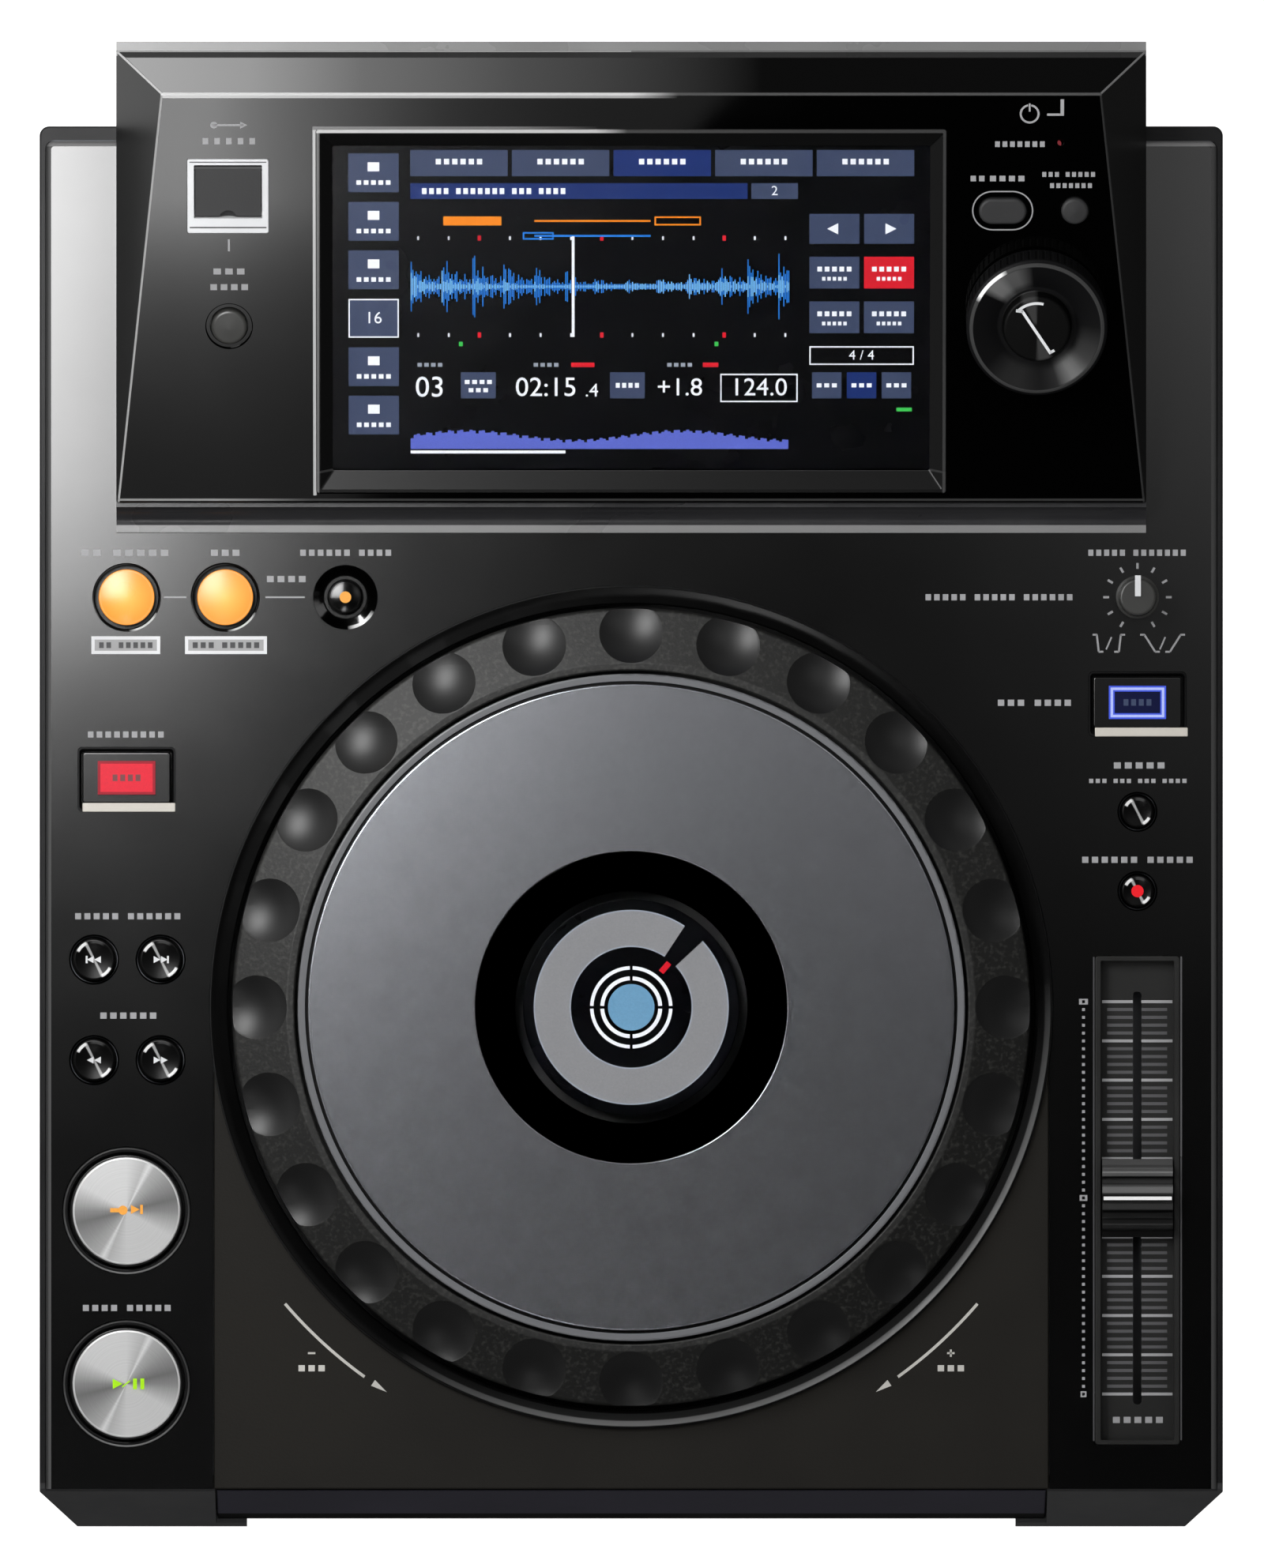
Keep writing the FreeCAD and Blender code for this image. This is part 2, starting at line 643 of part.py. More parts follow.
def fader_tray():
    """Sunk tray with the slot for the fader's blade."""
    half = (TRAY_HALF[0] - 0.1, TRAY_HALF[1] - 0.1)
    centre = (FADER_AT[0], TRAY_Y)
    tray = prism(rectangle(centre, half, 0.9), SUBDECK_Z, DECK_Z + 0.2)
    tray = soften(tray, 0.3, lambda e: e.BoundBox.ZMin > DECK_Z + 0.19)
    well = prism(rectangle(centre, (half[0] - 1.4, half[1] - 1.2), 0.4), TRAY_FLOOR_Z, DECK_Z + 1)
    slot = prism(rectangle(FADER_AT, (1.1, 53.4), 1.0), SUBDECK_Z - 1, DECK_Z)
    return cut_all(tray, [well, slot])


def fader_body():
    x, y = FADER_AT
    body = box_at(FADER_AT, (6.5, 64.0), (54.0, SUBDECK_Z - 0.2))
    channel = box((x - 4.5, x + 4.5), (y - 56.0, y + 56.0), (55.5, 63.8))
    slit = box((x - 1.3, x + 1.3), (y - 54.0, y + 54.0), (63.0, SUBDECK_Z))
    return cut_all(body, [channel, slit])


def fader_cap():
    """Grooved cap on the fader's blade."""
    x, y = FADER_AT
    foot = TRAY_FLOOR_Z + 0.5
    half_profile = [
        (10.1, foot),
        (10.1, foot + 2.4, 0.4),
        (8.6, foot + 3.2),
        (8.0, foot + 6.4, 0.5),
        (6.6, foot + 6.4, 0.4),
        (5.2, foot + 3.8, 0.6),
        (3.6, foot + 4.2, 0.4),
        (3.0, foot + 7.2, 0.4),
        (1.0, foot + 7.7, 0.3),
    ]
    corners = [(y + a, z, *r) for a, z, *r in half_profile]
    corners += [(y - a, z, *r) for a, z, *r in reversed(half_profile)]
    cap = prism_x(corners, x - 9.1, x + 9.1)
    line = box((x - 9.1, x + 9.1), (y - 0.45, y + 0.45), (foot + 7.2, foot + 8.0))
    hollow = box((x - 7.4, x + 7.4), (y - 7.0, y + 7.0), (foot - 1, foot + 2.0))
    blade = box((x - 0.6, x + 0.6), (y - 2.2, y + 2.2), (57.0, foot + 3.0))
    foot_bar = box((x - 3.8, x + 3.8), (y - 4.5, y + 4.5), (56.2, 58.4))
    return fuse_all([cap.cut(hollow), line, blade, foot_bar])


def jog_base():
    """Pan under the wheel, with the hollow spindle in its middle."""
    return lathe(
        [
            (SPINDLE_BORE_R, 53.0),
            (WELL_R + 2.4, 53.0),
            (WELL_R + 2.4, 63.5),
            (110.4, 63.5),
            (110.4, SUBDECK_Z),
            (WELL_R + 0.2, SUBDECK_Z),
            (WELL_R + 0.2, 55.2),
            (18.0, 55.2),
            (18.0, 57.4),
            (SPINDLE_R, 57.4),
            (SPINDLE_R, 77.4),
            (SPINDLE_BORE_R, 77.4),
        ],
        (0, JOG_Y),
    )


def jog_bearing():
    """Flanged sleeve between the spindle and the hub."""
    inner = SPINDLE_R + RUN_GAP
    return lathe(
        [(inner, 57.7), (17.0, 57.7), (17.0, 59.2), (14.0, 59.2), (14.0, 74.0), (inner, 74.0)],
        (0, JOG_Y),
    )


def jog_hub():
    """Turning carrier, with ribs, that holds the ring and the slit disc."""
    hub = lathe(
        [
            (14.0, 59.3),
            (18.0, 59.3),
            (18.0, 63.0),
            (22.0, 63.0),
            (22.0, 71.0),
            (99.8, 71.0),
            (99.8, 73.5),
            (14.0, 73.5),
        ],
        (0, JOG_Y),
    )
    ports = []
    for step in range(6):
        angle = math.radians(60 * step + 30)
        ports.append(rod((58 * math.cos(angle), JOG_Y + 58 * math.sin(angle)), (70, 75), 15.0))
    return cut_all(hub, ports)


def jog_slit_disc():
    """Slotted disc that the light gate reads."""
    disc = tube((0, JOG_Y), (65.4, 66.2), 22.05, 46.0)
    blank = box((-0.6, 0.6), (JOG_Y + 38.5, JOG_Y + 44.5), (65.0, 67.0))
    slits = []
    for step in range(SLITS):
        slit = blank.copy()
        slit.rotate(FreeCAD.Vector(0, JOG_Y, 0), FreeCAD.Vector(0, 0, 1), 360 * step / SLITS)
        slits.append(slit)
    return cut_all(disc, slits)


def jog_sensor():
    """Forked light gate on the pan, round the edge of the slit disc."""
    fork = box((-6.0, 6.0), (JOG_Y + 37.0, JOG_Y + 54.0), (55.2, 69.6))
    mouth = box((-7.0, 7.0), (JOG_Y + 36.0, JOG_Y + 48.5), (63.8, 67.8))
    return fork.cut(mouth)


def dimple(step):
    """Ball that scoops one finger dimple, square to the sloping flank."""
    slope = math.atan2(RING_TOP_Z - RING_EDGE_Z, RING_EDGE_R - RING_CREST_R)
    ball_r = (DIMPLE_R**2 + DIMPLE_DEPTH**2) / (2 * DIMPLE_DEPTH)
    surface_z = RING_TOP_Z - (DIMPLE_AT_R - RING_CREST_R) * math.tan(slope)
    lift = ball_r - DIMPLE_DEPTH
    radius = DIMPLE_AT_R + lift * math.sin(slope)
    height = surface_z + lift * math.cos(slope)
    angle = math.radians(360 * step / DIMPLES + 90)
    centre = FreeCAD.Vector(radius * math.cos(angle), JOG_Y + radius * math.sin(angle), height)
    return Part.makeSphere(ball_r, centre)


def jog_ring():
    """Sloping grip ring with its finger dimples."""
    ring = lathe(
        [
            (RING_IN_R, 73.6),
            (RING_IN_R, RING_TOP_Z, 0.5),
            (RING_CREST_R, RING_TOP_Z, 1.2),
            (RING_EDGE_R, RING_EDGE_Z, 1.0),
            (RING_R, RING_FOOT_Z, 0.5),
            (RING_R - 2.7, RING_FOOT_Z),
            (RING_R - 2.7, 73.6),
        ],
        (0, JOG_Y),
    )
    return cut_all(ring, [dimple(step) for step in range(DIMPLES)])


def jog_touch_sheet():
    """Ring-shaped membrane switch on the hub, under the foot of the touch plate."""
    return tube((0, JOG_Y), (73.5, 73.65), 64.0, 72.0)


def jog_plate():
    """Touch plate: grey disc with a groove inside its bright rim, which the hand presses down."""
    top = PLATE_TOP_Z
    groove_in, groove_out = PLATE_GROOVE_R
    return lathe(
        [
            (30.0, top - 3.4),
            (66.0, top - 3.4),
            (66.0, 74.1),
            (70.0, 74.1),
            (70.0, top - 3.4),
            (PLATE_R, top - 3.4),
            (PLATE_R, top - 0.3, 0.5),
            (groove_out, top - 0.3, 0.15),
            (groove_out, top - 1.1),
            (groove_in, top - 1.1),
            (groove_in, top, 0.25),
            (WINDOW_R + 0.2, top, 0.15),
            (WINDOW_R + 0.1, top - 1.6),
            (30.0, top - 1.6),
        ],
        (0, JOG_Y),
    )


def jog_window():
    """Clear middle of the touch plate, over the fixed display."""
    top = PLATE_TOP_Z
    corners = [(0, top - 1.6), (WINDOW_R, top - 1.6), (WINDOW_R, top - 0.05, 0.15), (0, top - 0.05)]
    return lathe(corners, (0, JOG_Y))


def jog_display():
    """Fixed round display on top of the spindle."""
    return lathe(
        [
            (0, 74.6),
            (SPINDLE_BORE_R - 0.1, 74.6),
            (SPINDLE_BORE_R - 0.1, 77.5),
            (28.0, 77.5),
            (28.0, 79.4, 0.3),
            (0, 79.4),
        ],
        (0, JOG_Y),
    )


def housing(inset):
    """Solid of the tilted housing, with every face but the base moved in by inset."""
    tilt = math.radians(TILT)
    back = math.atan2(HOUSE_REAR_Y - HOUSE_TOP_Y, HOUSE_TOP_Z - HOUSE_BASE_Z)
    front_y = HOUSE_FRONT_Y + inset
    front_z = HOUSE_FRONT_Z + inset * math.tan(tilt) - inset / math.cos(tilt)
    base_rear_y = HOUSE_REAR_Y - inset / math.cos(back)
    # the face and the back plane meet where both of their offset lines cross
    run = (base_rear_y - front_y) - (front_z - HOUSE_BASE_Z) * math.tan(back)
    top_y = front_y + run / (1 + math.tan(tilt) * math.tan(back))
    top_z = front_z + (top_y - front_y) * math.tan(tilt)
    base = HOUSE_BASE_Z - (1.0 if inset else 0.0)
    rear_y = base_rear_y + (HOUSE_BASE_Z - base) * math.tan(back)
    corners = [(front_y, base), (rear_y, base), (top_y, top_z), (front_y, front_z)]
    block = prism_x(corners, -HOUSE_HALF - 5, HOUSE_HALF + 5)
    side = math.atan2(HOUSE_HALF - HOUSE_TOP_HALF, HOUSE_TOP_Z - HOUSE_BASE_Z)
    half = HOUSE_HALF - inset / math.cos(side)
    rise = 40.0
    low = half + (HOUSE_BASE_Z - base) * math.tan(side)
    trapeze = [(-low, base), (low, base), (half - rise * math.tan(side), HOUSE_BASE_Z + rise)]
    trapeze.append((-half + rise * math.tan(side), HOUSE_BASE_Z + rise))
    return block.common(prism_y(trapeze, HOUSE_FRONT_Y - 10, HOUSE_REAR_Y + 10))


def display_cover():
    """Glossy faceted cover round the screen."""
    outer = housing(0)
    outer = soften(outer, 0.6, lambda e: e.BoundBox.ZMax > HOUSE_BASE_Z + 0.5)
    shell = outer.cut(housing(HOUSE_WALL))
    depth = (-6, 2)
    tools = [prism(face_rect(BEZEL_HALF + 0.1, (BEZEL_V[0] - 0.1, BEZEL_V[1] + 0.1)), *depth)]
    tools.append(prism(span_rect(USB_U, USB_FRAME_HALF + 0.1, USB_FRAME_V, 0.6, 0.1), *depth))
    tools.append(hole(STOP_AT, (-4, 0), 5.0, 0.1))
    tools.append(hole(STOP_AT, (-0.7, 0), 5.9, 0.25))
    tools.append(prism(rectangle(BACK_AT, (6.5, 3.8), 3.7), -4, 1))
    tools.append(hole(TAG_AT, (-4, 0), 3.9, 0.15))
    tools.append(hole(LED_AT, (-4, 0), 0.8, 0.1))
    tools.append(hole(BROWSE_AT, (-4, 0), 4.4, 0.1))
    shell = cut_all(shell, [on_face(t) for t in tools])
    posts = [(-92.0, 38.0), (-116.0, 62.0), (90.0, 62.0), (118.0, 60.0), (88.0, 88.0)]
    return fuse_all([shell] + [on_face(rod(p, (BOARD_W, -HOUSE_WALL + 0.3), 2.2)) for p in posts])


def face_rect(half, v, radius=0.8):
    return [(-half, v[0], radius), (half, v[0], radius), (half, v[1], radius), (-half, v[1], radius)]


def span_rect(centre, half, v, radius, grow=0.0):
    middle = (centre, (v[0] + v[1]) / 2)
    return rectangle(middle, (half, (v[1] - v[0]) / 2 + grow), radius)


def display_plinth():
    """Base tray of the housing: sloping skirt in front, floor behind, closed under the overhang."""
    # the skirt is hollow in section and runs out into a narrow level ledge on the deck
    outer = prism_x(
        [
            (PLINTH_FOOT_Y, DECK_Z),
            (REAR_Y - 1.6, DECK_Z),
            (REAR_Y, DECK_Z + 1.6),
            (REAR_Y, PLINTH_TOP_Z),
            (71.9, PLINTH_TOP_Z),
            (70.4, PLINTH_LEDGE_Z, 4.4),
            (PLINTH_FOOT_Y, PLINTH_LEDGE_Z, 0.25),
        ],
        -HOUSE_HALF,
        HOUSE_HALF,
    )
    inner = box((-HOUSE_HALF + 2.4, HOUSE_HALF - 2.4), (75.4, HOUSE_REAR_Y - 2.2), (DECK_Z + 2.0, 90))
    opening = box((-84, 84), (76.5, 160), (60, 90))
    return cut_all(outer, [inner, opening])


def screen_bezel():
    """Frame with sloping inner walls round the glass."""
    outer = prism(face_rect(BEZEL_HALF, BEZEL_V, 0.7), -4.4, -0.05)
    outer = soften(outer, 0.3, lambda e: e.BoundBox.ZMin > -0.06)
    deep = face_rect(SCREEN_HALF, SCREEN_V, 0.5)
    wide = face_rect(BEZEL_HALF - 0.7, (BEZEL_V[0] + 0.7, BEZEL_V[1] - 0.7), 0.5)
    low = Part.Wire(rounded_edges(deep, lambda p: FreeCAD.Vector(p.x, p.y, GLASS_W + 0.2)))
    high = Part.Wire(rounded_edges(wide, lambda p: FreeCAD.Vector(p.x, p.y, 0.15)))
    funnel = Part.makeLoft([low, high], True, True)
    rebate = prism(face_rect(79.2, (5.8, 97.2), 0.5), -5, GLASS_W)
    return on_face(cut_all(outer, [funnel, prism(deep, -5, 0), rebate]))


def touch_glass():
    return on_face(prism(face_rect(79.0, (6.0, 97.0), 0.5), GLASS_W - GLASS_T, GLASS_W))


def lcd_panel():
    top = GLASS_W - GLASS_T - 0.1
    return on_face(prism(face_rect(79.0, (6.0, 97.0), 0.5), top - LCD_T, top))


def usb_frame():
    """Light-guide frame of the USB slot, with the well behind it."""
    frame = prism(span_rect(USB_U, USB_FRAME_HALF, USB_FRAME_V, 0.6), -2.0, 0.5)
    frame = soften(frame, 0.35, lambda e: e.BoundBox.ZMin > 0.49)
    well_v = (USB_HOLE_V[0] - 1.2, USB_HOLE_V[1] + 1.2)
    well = prism(span_rect(USB_U, USB_HOLE_HALF + 1.2, well_v, 0.6), USB_WELL_W - 1, -1.8)
    window = prism(span_rect(USB_U, USB_HOLE_HALF, USB_HOLE_V, 0.3), USB_WELL_W, 2)
    socket_hole = prism(rectangle((USB_U, USB_SOCKET_V), (6.8, 3.2)), USB_WELL_W - 2, 0)
    pin_hole = lid_rod(USB_HOLE_HALF + 1.0, LID_PIN_R + RUN_GAP)
    shape = cut_all(fuse_all([frame, well]), [window, socket_hole, pin_hole])
    ledges = []
    for side in (-1, 1):
        edge = USB_U + side * (USB_HOLE_HALF - 0.5)
        stop_v = (USB_HOLE_V[0] - 0.2, USB_HOLE_V[0] + 1.0)
        ledges.append(box((edge - 0.6, edge + 0.6), stop_v, (-3.2, -2.1)))
    return on_face(fuse_all([shape] + ledges))


def lid_rod(half, radius):
    """A rod across the USB slot, on the axis of the lid's hinge."""
    start = FreeCAD.Vector(USB_U - half, LID_PIN_V, LID_PIN_W)
    return Part.makeCylinder(radius, 2 * half, start, FreeCAD.Vector(1, 0, 0))


def usb_lid():
    """Hinged lid of the USB slot, with moulded pins and a nail notch."""
    half = USB_HOLE_HALF - 0.25
    low_v = USB_HOLE_V[0] + 0.25
    slab = prism_x(
        [(low_v, -1.9, 0.2), (LID_PIN_V, -1.9), (LID_PIN_V, -0.3), (low_v, -0.3, 0.3)],
        USB_U - half,
        USB_U + half,
    )
    notch = Part.makeSphere(2.6, FreeCAD.Vector(USB_U, USB_HOLE_V[0] - 0.4, 0.7))
    pins = lid_rod(USB_HOLE_HALF + 0.8, LID_PIN_R)
    return on_face(fuse_all([slab.cut(notch), pins]))


def usb_socket():
    """Device socket standing in the well, with its contact tongue."""
    centre = (USB_U, USB_SOCKET_V)
    shell = prism(rectangle(centre, (6.6, 2.95)), -24.0, -9.4)
    shell = shell.cut(prism(rectangle(centre, (6.25, 2.56)), -23.0, -9))
    tongue = box((USB_U - 5.5, USB_U + 5.5), (USB_SOCKET_V + 0.3, USB_SOCKET_V + 2.1), (-23.5, -11.0))
    return on_face(fuse_all([shell, tongue]))


def panel_button(at, cap, flange, top, dome):
    """Button of the tilted face, from a cap outline and a flange outline."""
    body = prism(cap, -2.6, top)
    body = soften(body, dome, lambda e: e.BoundBox.ZMin > top - 0.01)
    plate = prism(flange, -3.9, -2.5)
    stem = rod(at, (-6.2, -3.0), 2.0)
    return on_face(fuse_all([body, plate, stem]))


def round_panel_button(at, radius, edge_top):
    """Round button of the tilted face: domed cap, flange under the face, and stem."""
    return on_face(
        lathe(
            [
                (0, -6.2),
                (2.0, -6.2),
                (2.0, -3.9),
                (radius + 1.4, -3.9),
                (radius + 1.4, -2.5),
                (radius, -2.5),
                (radius, edge_top, 0.9),
                (0, 1.5),
            ],
            at,
        )
    )


def back_button():
    cap = rectangle(BACK_AT, (6.1, 3.4), 3.35)
    flange = rectangle(BACK_AT, (7.6, 4.9), 4.8)
    return panel_button(BACK_AT, cap, flange, 1.3, 0.7)


def browse_encoder():
    """Body of the push encoder, hollow for its turning rotor."""
    body = prism(rectangle(BROWSE_AT, (6.5, 6.5), 0.5), BOARD_W, -4.6)
    neck = rod(BROWSE_AT, (-4.8, 0.6), 4.2)
    cavity = rod(BROWSE_AT, (-10.6, -5.6), 5.4)
    bore = rod(BROWSE_AT, (-6.0, 1.0), 3.0 + RUN_GAP)
    return on_face(cut_all(body.fuse(neck), [cavity, bore]))


def browse_rotor():
    """Detent wheel inside the encoder, which turns with the knob's shaft."""
    wheel = rod(BROWSE_AT, (-8.8, -6.2), 5.0)
    u, v = BROWSE_AT
    notches = []
    for step in range(20):
        angle = math.radians(18 * step)
        notches.append(rod((u + 5.1 * math.cos(angle), v + 5.1 * math.sin(angle)), (-9, -6), 0.4))
    flat = box((u + 2.2 + RUN_GAP, u + 4), (v - 3, v + 3), (-9, -6))
    bore = rod(BROWSE_AT, (-9, -6), 3.0 + RUN_GAP).cut(flat)
    return on_face(cut_all(wheel, notches + [bore]))


def browse_knob():
    """Wide turned knob with a dished top and a raised hub, on a flatted shaft."""
    turned = lathe(
        [
            (0, 2.4),
            (BROWSE_R - 1.2, 2.4),
            (BROWSE_R - 1.2, 1.4),
            (BROWSE_R, 1.4, 0.3),
            (BROWSE_R, 11.2, 0.6),
            (BROWSE_R - 1.6, 12.4, 0.5),
            (10.2, 8.6, 1.0),
            (8.9, 8.6, 0.3),
            (8.6, 12.6, 0.8),
            (0, 12.9),
        ],
        BROWSE_AT,
    )
    u, v = BROWSE_AT
    groove_at_r = BROWSE_R + 0.15
    grooves = []
    for step in range(60):
        angle = math.radians(6 * step)
        at = (u + groove_at_r * math.cos(angle), v + groove_at_r * math.sin(angle))
        grooves.append(rod(at, (2.2, 10.2), 0.45))
    flat = box((u + 2.2, u + 4), (v - 4, v + 4), (-11, -4.0))
    shaft = rod(BROWSE_AT, (-9.6, 3.0), 3.0).cut(flat)
    return on_face(fuse_all([cut_all(turned, grooves), shaft]))


def control_boards():
    """Boards under the two flanks, and the two behind the housing's face."""
    low = BUTTON_BOARD_Z - BOARD_T
    z = (low, BUTTON_BOARD_Z)
    left = fuse_all([box((-149.6, -112.6), (-178, 60), z), box((-113, -62), (37.5, 60), z)])
    right = box((112.6, 149.6), (-41.5, 60), z)
    w = (BOARD_W - BOARD_T, BOARD_W)
    stop = on_face(box((-120, -88), (34, 66), w))
    browse = on_face(box((84, 122), (36, 90), w))
    pierced = [rod(p, (low - 1, BUTTON_BOARD_Z + 1), 4.2) for p in BOSS_AT]
    return group([cut_all(left, pierced), cut_all(right, pierced), stop, browse])


def tact_switches():
    """One small push switch under every button."""
    places = [value[0] for value in SMALL_BUTTONS.values()]
    places += [value[0] for value in LAMP_BUTTONS.values()]
    places += list(BIG_BUTTONS.values()) + list(KEYS.values())
    half = (SWITCH_HALF, SWITCH_HALF)
    switches = []
    for at in places:
        can = box_at(at, half, (BUTTON_BOARD_Z, BUTTON_BOARD_Z + SWITCH_H - 0.8))
        switches.append(can.fuse(rod(at, (BUTTON_BOARD_Z + 1, BUTTON_BOARD_Z + SWITCH_H), 1.7)))
    for at in (STOP_AT, BACK_AT, TAG_AT):
        can = box_at(at, half, (BOARD_W, BOARD_W + SWITCH_H - 0.8))
        switches.append(on_face(can.fuse(rod(at, (BOARD_W + 1, BOARD_W + SWITCH_H), 1.7))))
    return group(switches)


def main_board():
    """Main board with its processor, memory and cooler."""
    board = box((-112, 60), (62, 164), MAIN_BOARD_Z)
    top = MAIN_BOARD_Z[1]
    cooler = box((-40, -10), (84, 114), (top + 2, top + 5))
    fins = [box((-40 + 4 * n, -38.6 + 4 * n), (84, 114), (top + 5, top + 14)) for n in range(8)]
    parts = [box((-38, -12), (86, 112), (top, top + 2)), box((6, 22), (90, 104), (top, top + 1.2))]
    parts += [box((28, 44), (90, 104), (top, top + 1.2)), box((-86, -70), (90, 106), (top, top + 1.4))]
    return fuse_all([board, cooler] + fins + parts)


def power_board():
    """Power supply with its transformer, capacitors and the body of the mains switch."""
    board = box((64, 137), (60, 136), MAIN_BOARD_Z)
    top = MAIN_BOARD_Z[1]
    x, z = POWER_AT
    parts = [box((86, 112), (72, 96), (top, top + 22)), rod((124, 82), (top, top + 24), 8.0)]
    parts += [rod((76, 88), (top, top + 18), 5.0), rod((124, 104), (top, top + 18), 5.0)]
    parts.append(box((x - 8, x + 8), (118, 134), (top, z + 7)))
    parts.append(box((x - 3, x + 3), (133, 138.6), (z - 3, z + 3)))
    return fuse_all([board] + parts)


def rear_plate():
    """Steel plate of the rear, pierced for the sockets."""
    low, high = REAR_PLATE_Y
    plate = box((-REAR_HALF - 3, REAR_HALF + 3), REAR_PLATE_Y, (REAR_Z[0] - 2, REAR_Z[1] + 2.5))
    span = (low - 1, high + 1)
    x, z = INLET_AT
    a, b = INLET_HALF
    tools = [box((x - a - 2.1, x + a + 2.1), span, (z - b - 2.1, z + b + 2.1))]
    tools.append(box((LAN_X - 8.1, LAN_X + 8.1), span, (MAIN_BOARD_Z[1], 30.0)))
    tools.append(box((USB_B_X - 6.2, USB_B_X + 6.2), span, (MAIN_BOARD_Z[1], 28.2)))
    tools.append(rod_y(*MINI_AT, span, 4.1))
    tools += [rod_y(*at, span, 5.1) for at in RCA_AT]
    tools.append(rod_y(*POWER_AT, span, POWER_R + 0.4))
    tools.append(box((LOCK_AT[0] - 3.5, LOCK_AT[0] + 3.5), span, (LOCK_AT[1] - 1.5, LOCK_AT[1] + 1.5)))
    tools += [rod_y(x, z, span, 1.6) for x, z in rear_screws()]
    return cut_all(plate, tools)


def rear_screws():
    return [(-100.0, 50.0), (-25.0, 50.0), (50.0, 50.0), (-52.0, 18.5), (56.5, 20.0)]


def rca_jack(at):
    """Barrel with its collar, insulator block and centre contact."""
    x, z = at
    block = box((x - 7, x + 7), (150, 165.2), (MAIN_BOARD_Z[1], z + 7))
    neck = rod_y(x, z, (165.0, 166.6), 5.0)
    collar = rod_y(x, z, (166.5, 168.0), 6.2)
    barrel = rod_y(x, z, (167.0, 176.2), RCA_R)
    return fuse_all([block, neck, collar, barrel]).cut(rod_y(x, z, (167.6, 177.0), RCA_BORE_R))


def signal_jacks():
    x, z = MINI_AT
    block = box((x - 5.5, x + 5.5), (150, 165.2), (MAIN_BOARD_Z[1], z + 5.5))
    neck = rod_y(x, z, (165.0, 169.6), 4.0)
    mini = fuse_all([block, neck]).cut(rod_y(x, z, (155.0, 170.0), MINI_BORE_R))
    return group([rca_jack(at) for at in RCA_AT] + [mini])


def lan_jack():
    body = box((LAN_X - 8.0, LAN_X + 8.0), (146.0, 167.2), (MAIN_BOARD_Z[1], 29.8))
    a, b = LAN_HALF
    mouth = box((LAN_X - a, LAN_X + a), (154.0, 168.0), (LAN_Z - b, LAN_Z + b))
    latch = box((LAN_X - 2.2, LAN_X + 2.2), (158.0, 168.0), (LAN_Z - b - 2.4, LAN_Z - b + 0.5))
    return cut_all(body, [mouth, latch])


def usb_b_port():
    body = box((USB_B_X - 6.0, USB_B_X + 6.0), (150.0, 167.2), (MAIN_BOARD_Z[1], 28.0))
    mouth = box((USB_B_X - 4.2, USB_B_X + 4.2), (157.0, 168.0), (USB_B_Z - 3.9, USB_B_Z + 3.9))
    tongue = box((USB_B_X - 2.8, USB_B_X + 2.8), (157.0, 163.0), (USB_B_Z - 1.6, USB_B_Z + 1.6))
    return group([body.cut(mouth), tongue])


def ac_inlet():
    """Mains inlet with a flange, a deep mouth and two flat pins."""
    x, z = INLET_AT
    a, b = INLET_HALF
    body = box((x - a - 2, x + a + 2), (148.0, 167.0), (z - b - 2, z + b + 2))
    flange = prism_y(rectangle((x, z), (a + 4, b + 4), 2.0), 166.6, 168.8)
    keyed = [
        (x - a, z - b),
        (x + a, z - b),
        (x + a, z + 3.4),
        (x + 7.4, z + b),
        (x - 7.4, z + b),
        (x - a, z + 3.4),
    ]
    mouth = prism_y(keyed, 152.0, 170)
    pins = [box((c - 1.0, c + 1.0), (152.0, 163.5), (z + 0.2, z + 4.2)) for c in (x - 7.0, x + 7.0)]
    return group([fuse_all([body, flange]).cut(mouth)] + pins)


def power_button():
    x, z = POWER_AT
    cap = rod_y(x, z, (141.0, 170.0), POWER_R)
    cap = soften(cap, 0.6, lambda e: e.BoundBox.YMin > 169.9)
    collar = rod_y(x, z, (162.6, 164.6), POWER_R + 1.4)
    return fuse_all([cap, collar])


def foot(at):
    """Rubber foot, with a dished middle for its screw."""
    return lathe(
        [
            (1.6, 2.4),
            (4.2, 2.4),
            (4.2, 0),
            (FOOT_R - 0.6, 0, 1.0),
            (FOOT_R, 6.5, 0.4),
            (FOOT_R, FOOT_H + 1.0),
            (1.6, FOOT_H + 1.0),
        ],
        at,
    )


def feet():
    return group([foot(at) for at in FOOT_AT])


def screw(at, head_z, length):
    """Pan-head screw whose head looks down, with a cross recess."""
    neck_z = head_z + 1.2
    tip_z = head_z + length
    body = lathe(
        [(0, head_z), (2.4, head_z, 0.5), (2.9, neck_z), (SCREW_R, neck_z), (SCREW_R, tip_z), (0, tip_z)],
        at,
    )
    recess_z = (head_z - 1, head_z + 0.7)
    return cut_all(body, [box_at(at, (1.5, 0.3), recess_z), box_at(at, (0.3, 1.5), recess_z)])


def rear_screw(at):
    x, z = at
    head = rod_y(x, z, (166.5, 168.1), 2.9)
    head = soften(head, 0.5, lambda e: e.BoundBox.YMin > 168.05)
    shank = rod_y(x, z, (158.5, 166.6), SCREW_R)
    recess_y = (167.4, 169)
    flat = box((x - 1.5, x + 1.5), recess_y, (z - 0.3, z + 0.3))
    upright = box((x - 0.3, x + 0.3), recess_y, (z - 1.5, z + 1.5))
    return cut_all(fuse_all([head, shank]), [flat, upright])


def case_screws():
    under = [screw(at, FOOT_H + 0.1, 13.0) for at in BOSS_AT]
    in_feet = [screw(at, 1.2, 10.4) for at in FOOT_AT]
    return group(under + in_feet + [rear_screw(at) for at in rear_screws()])


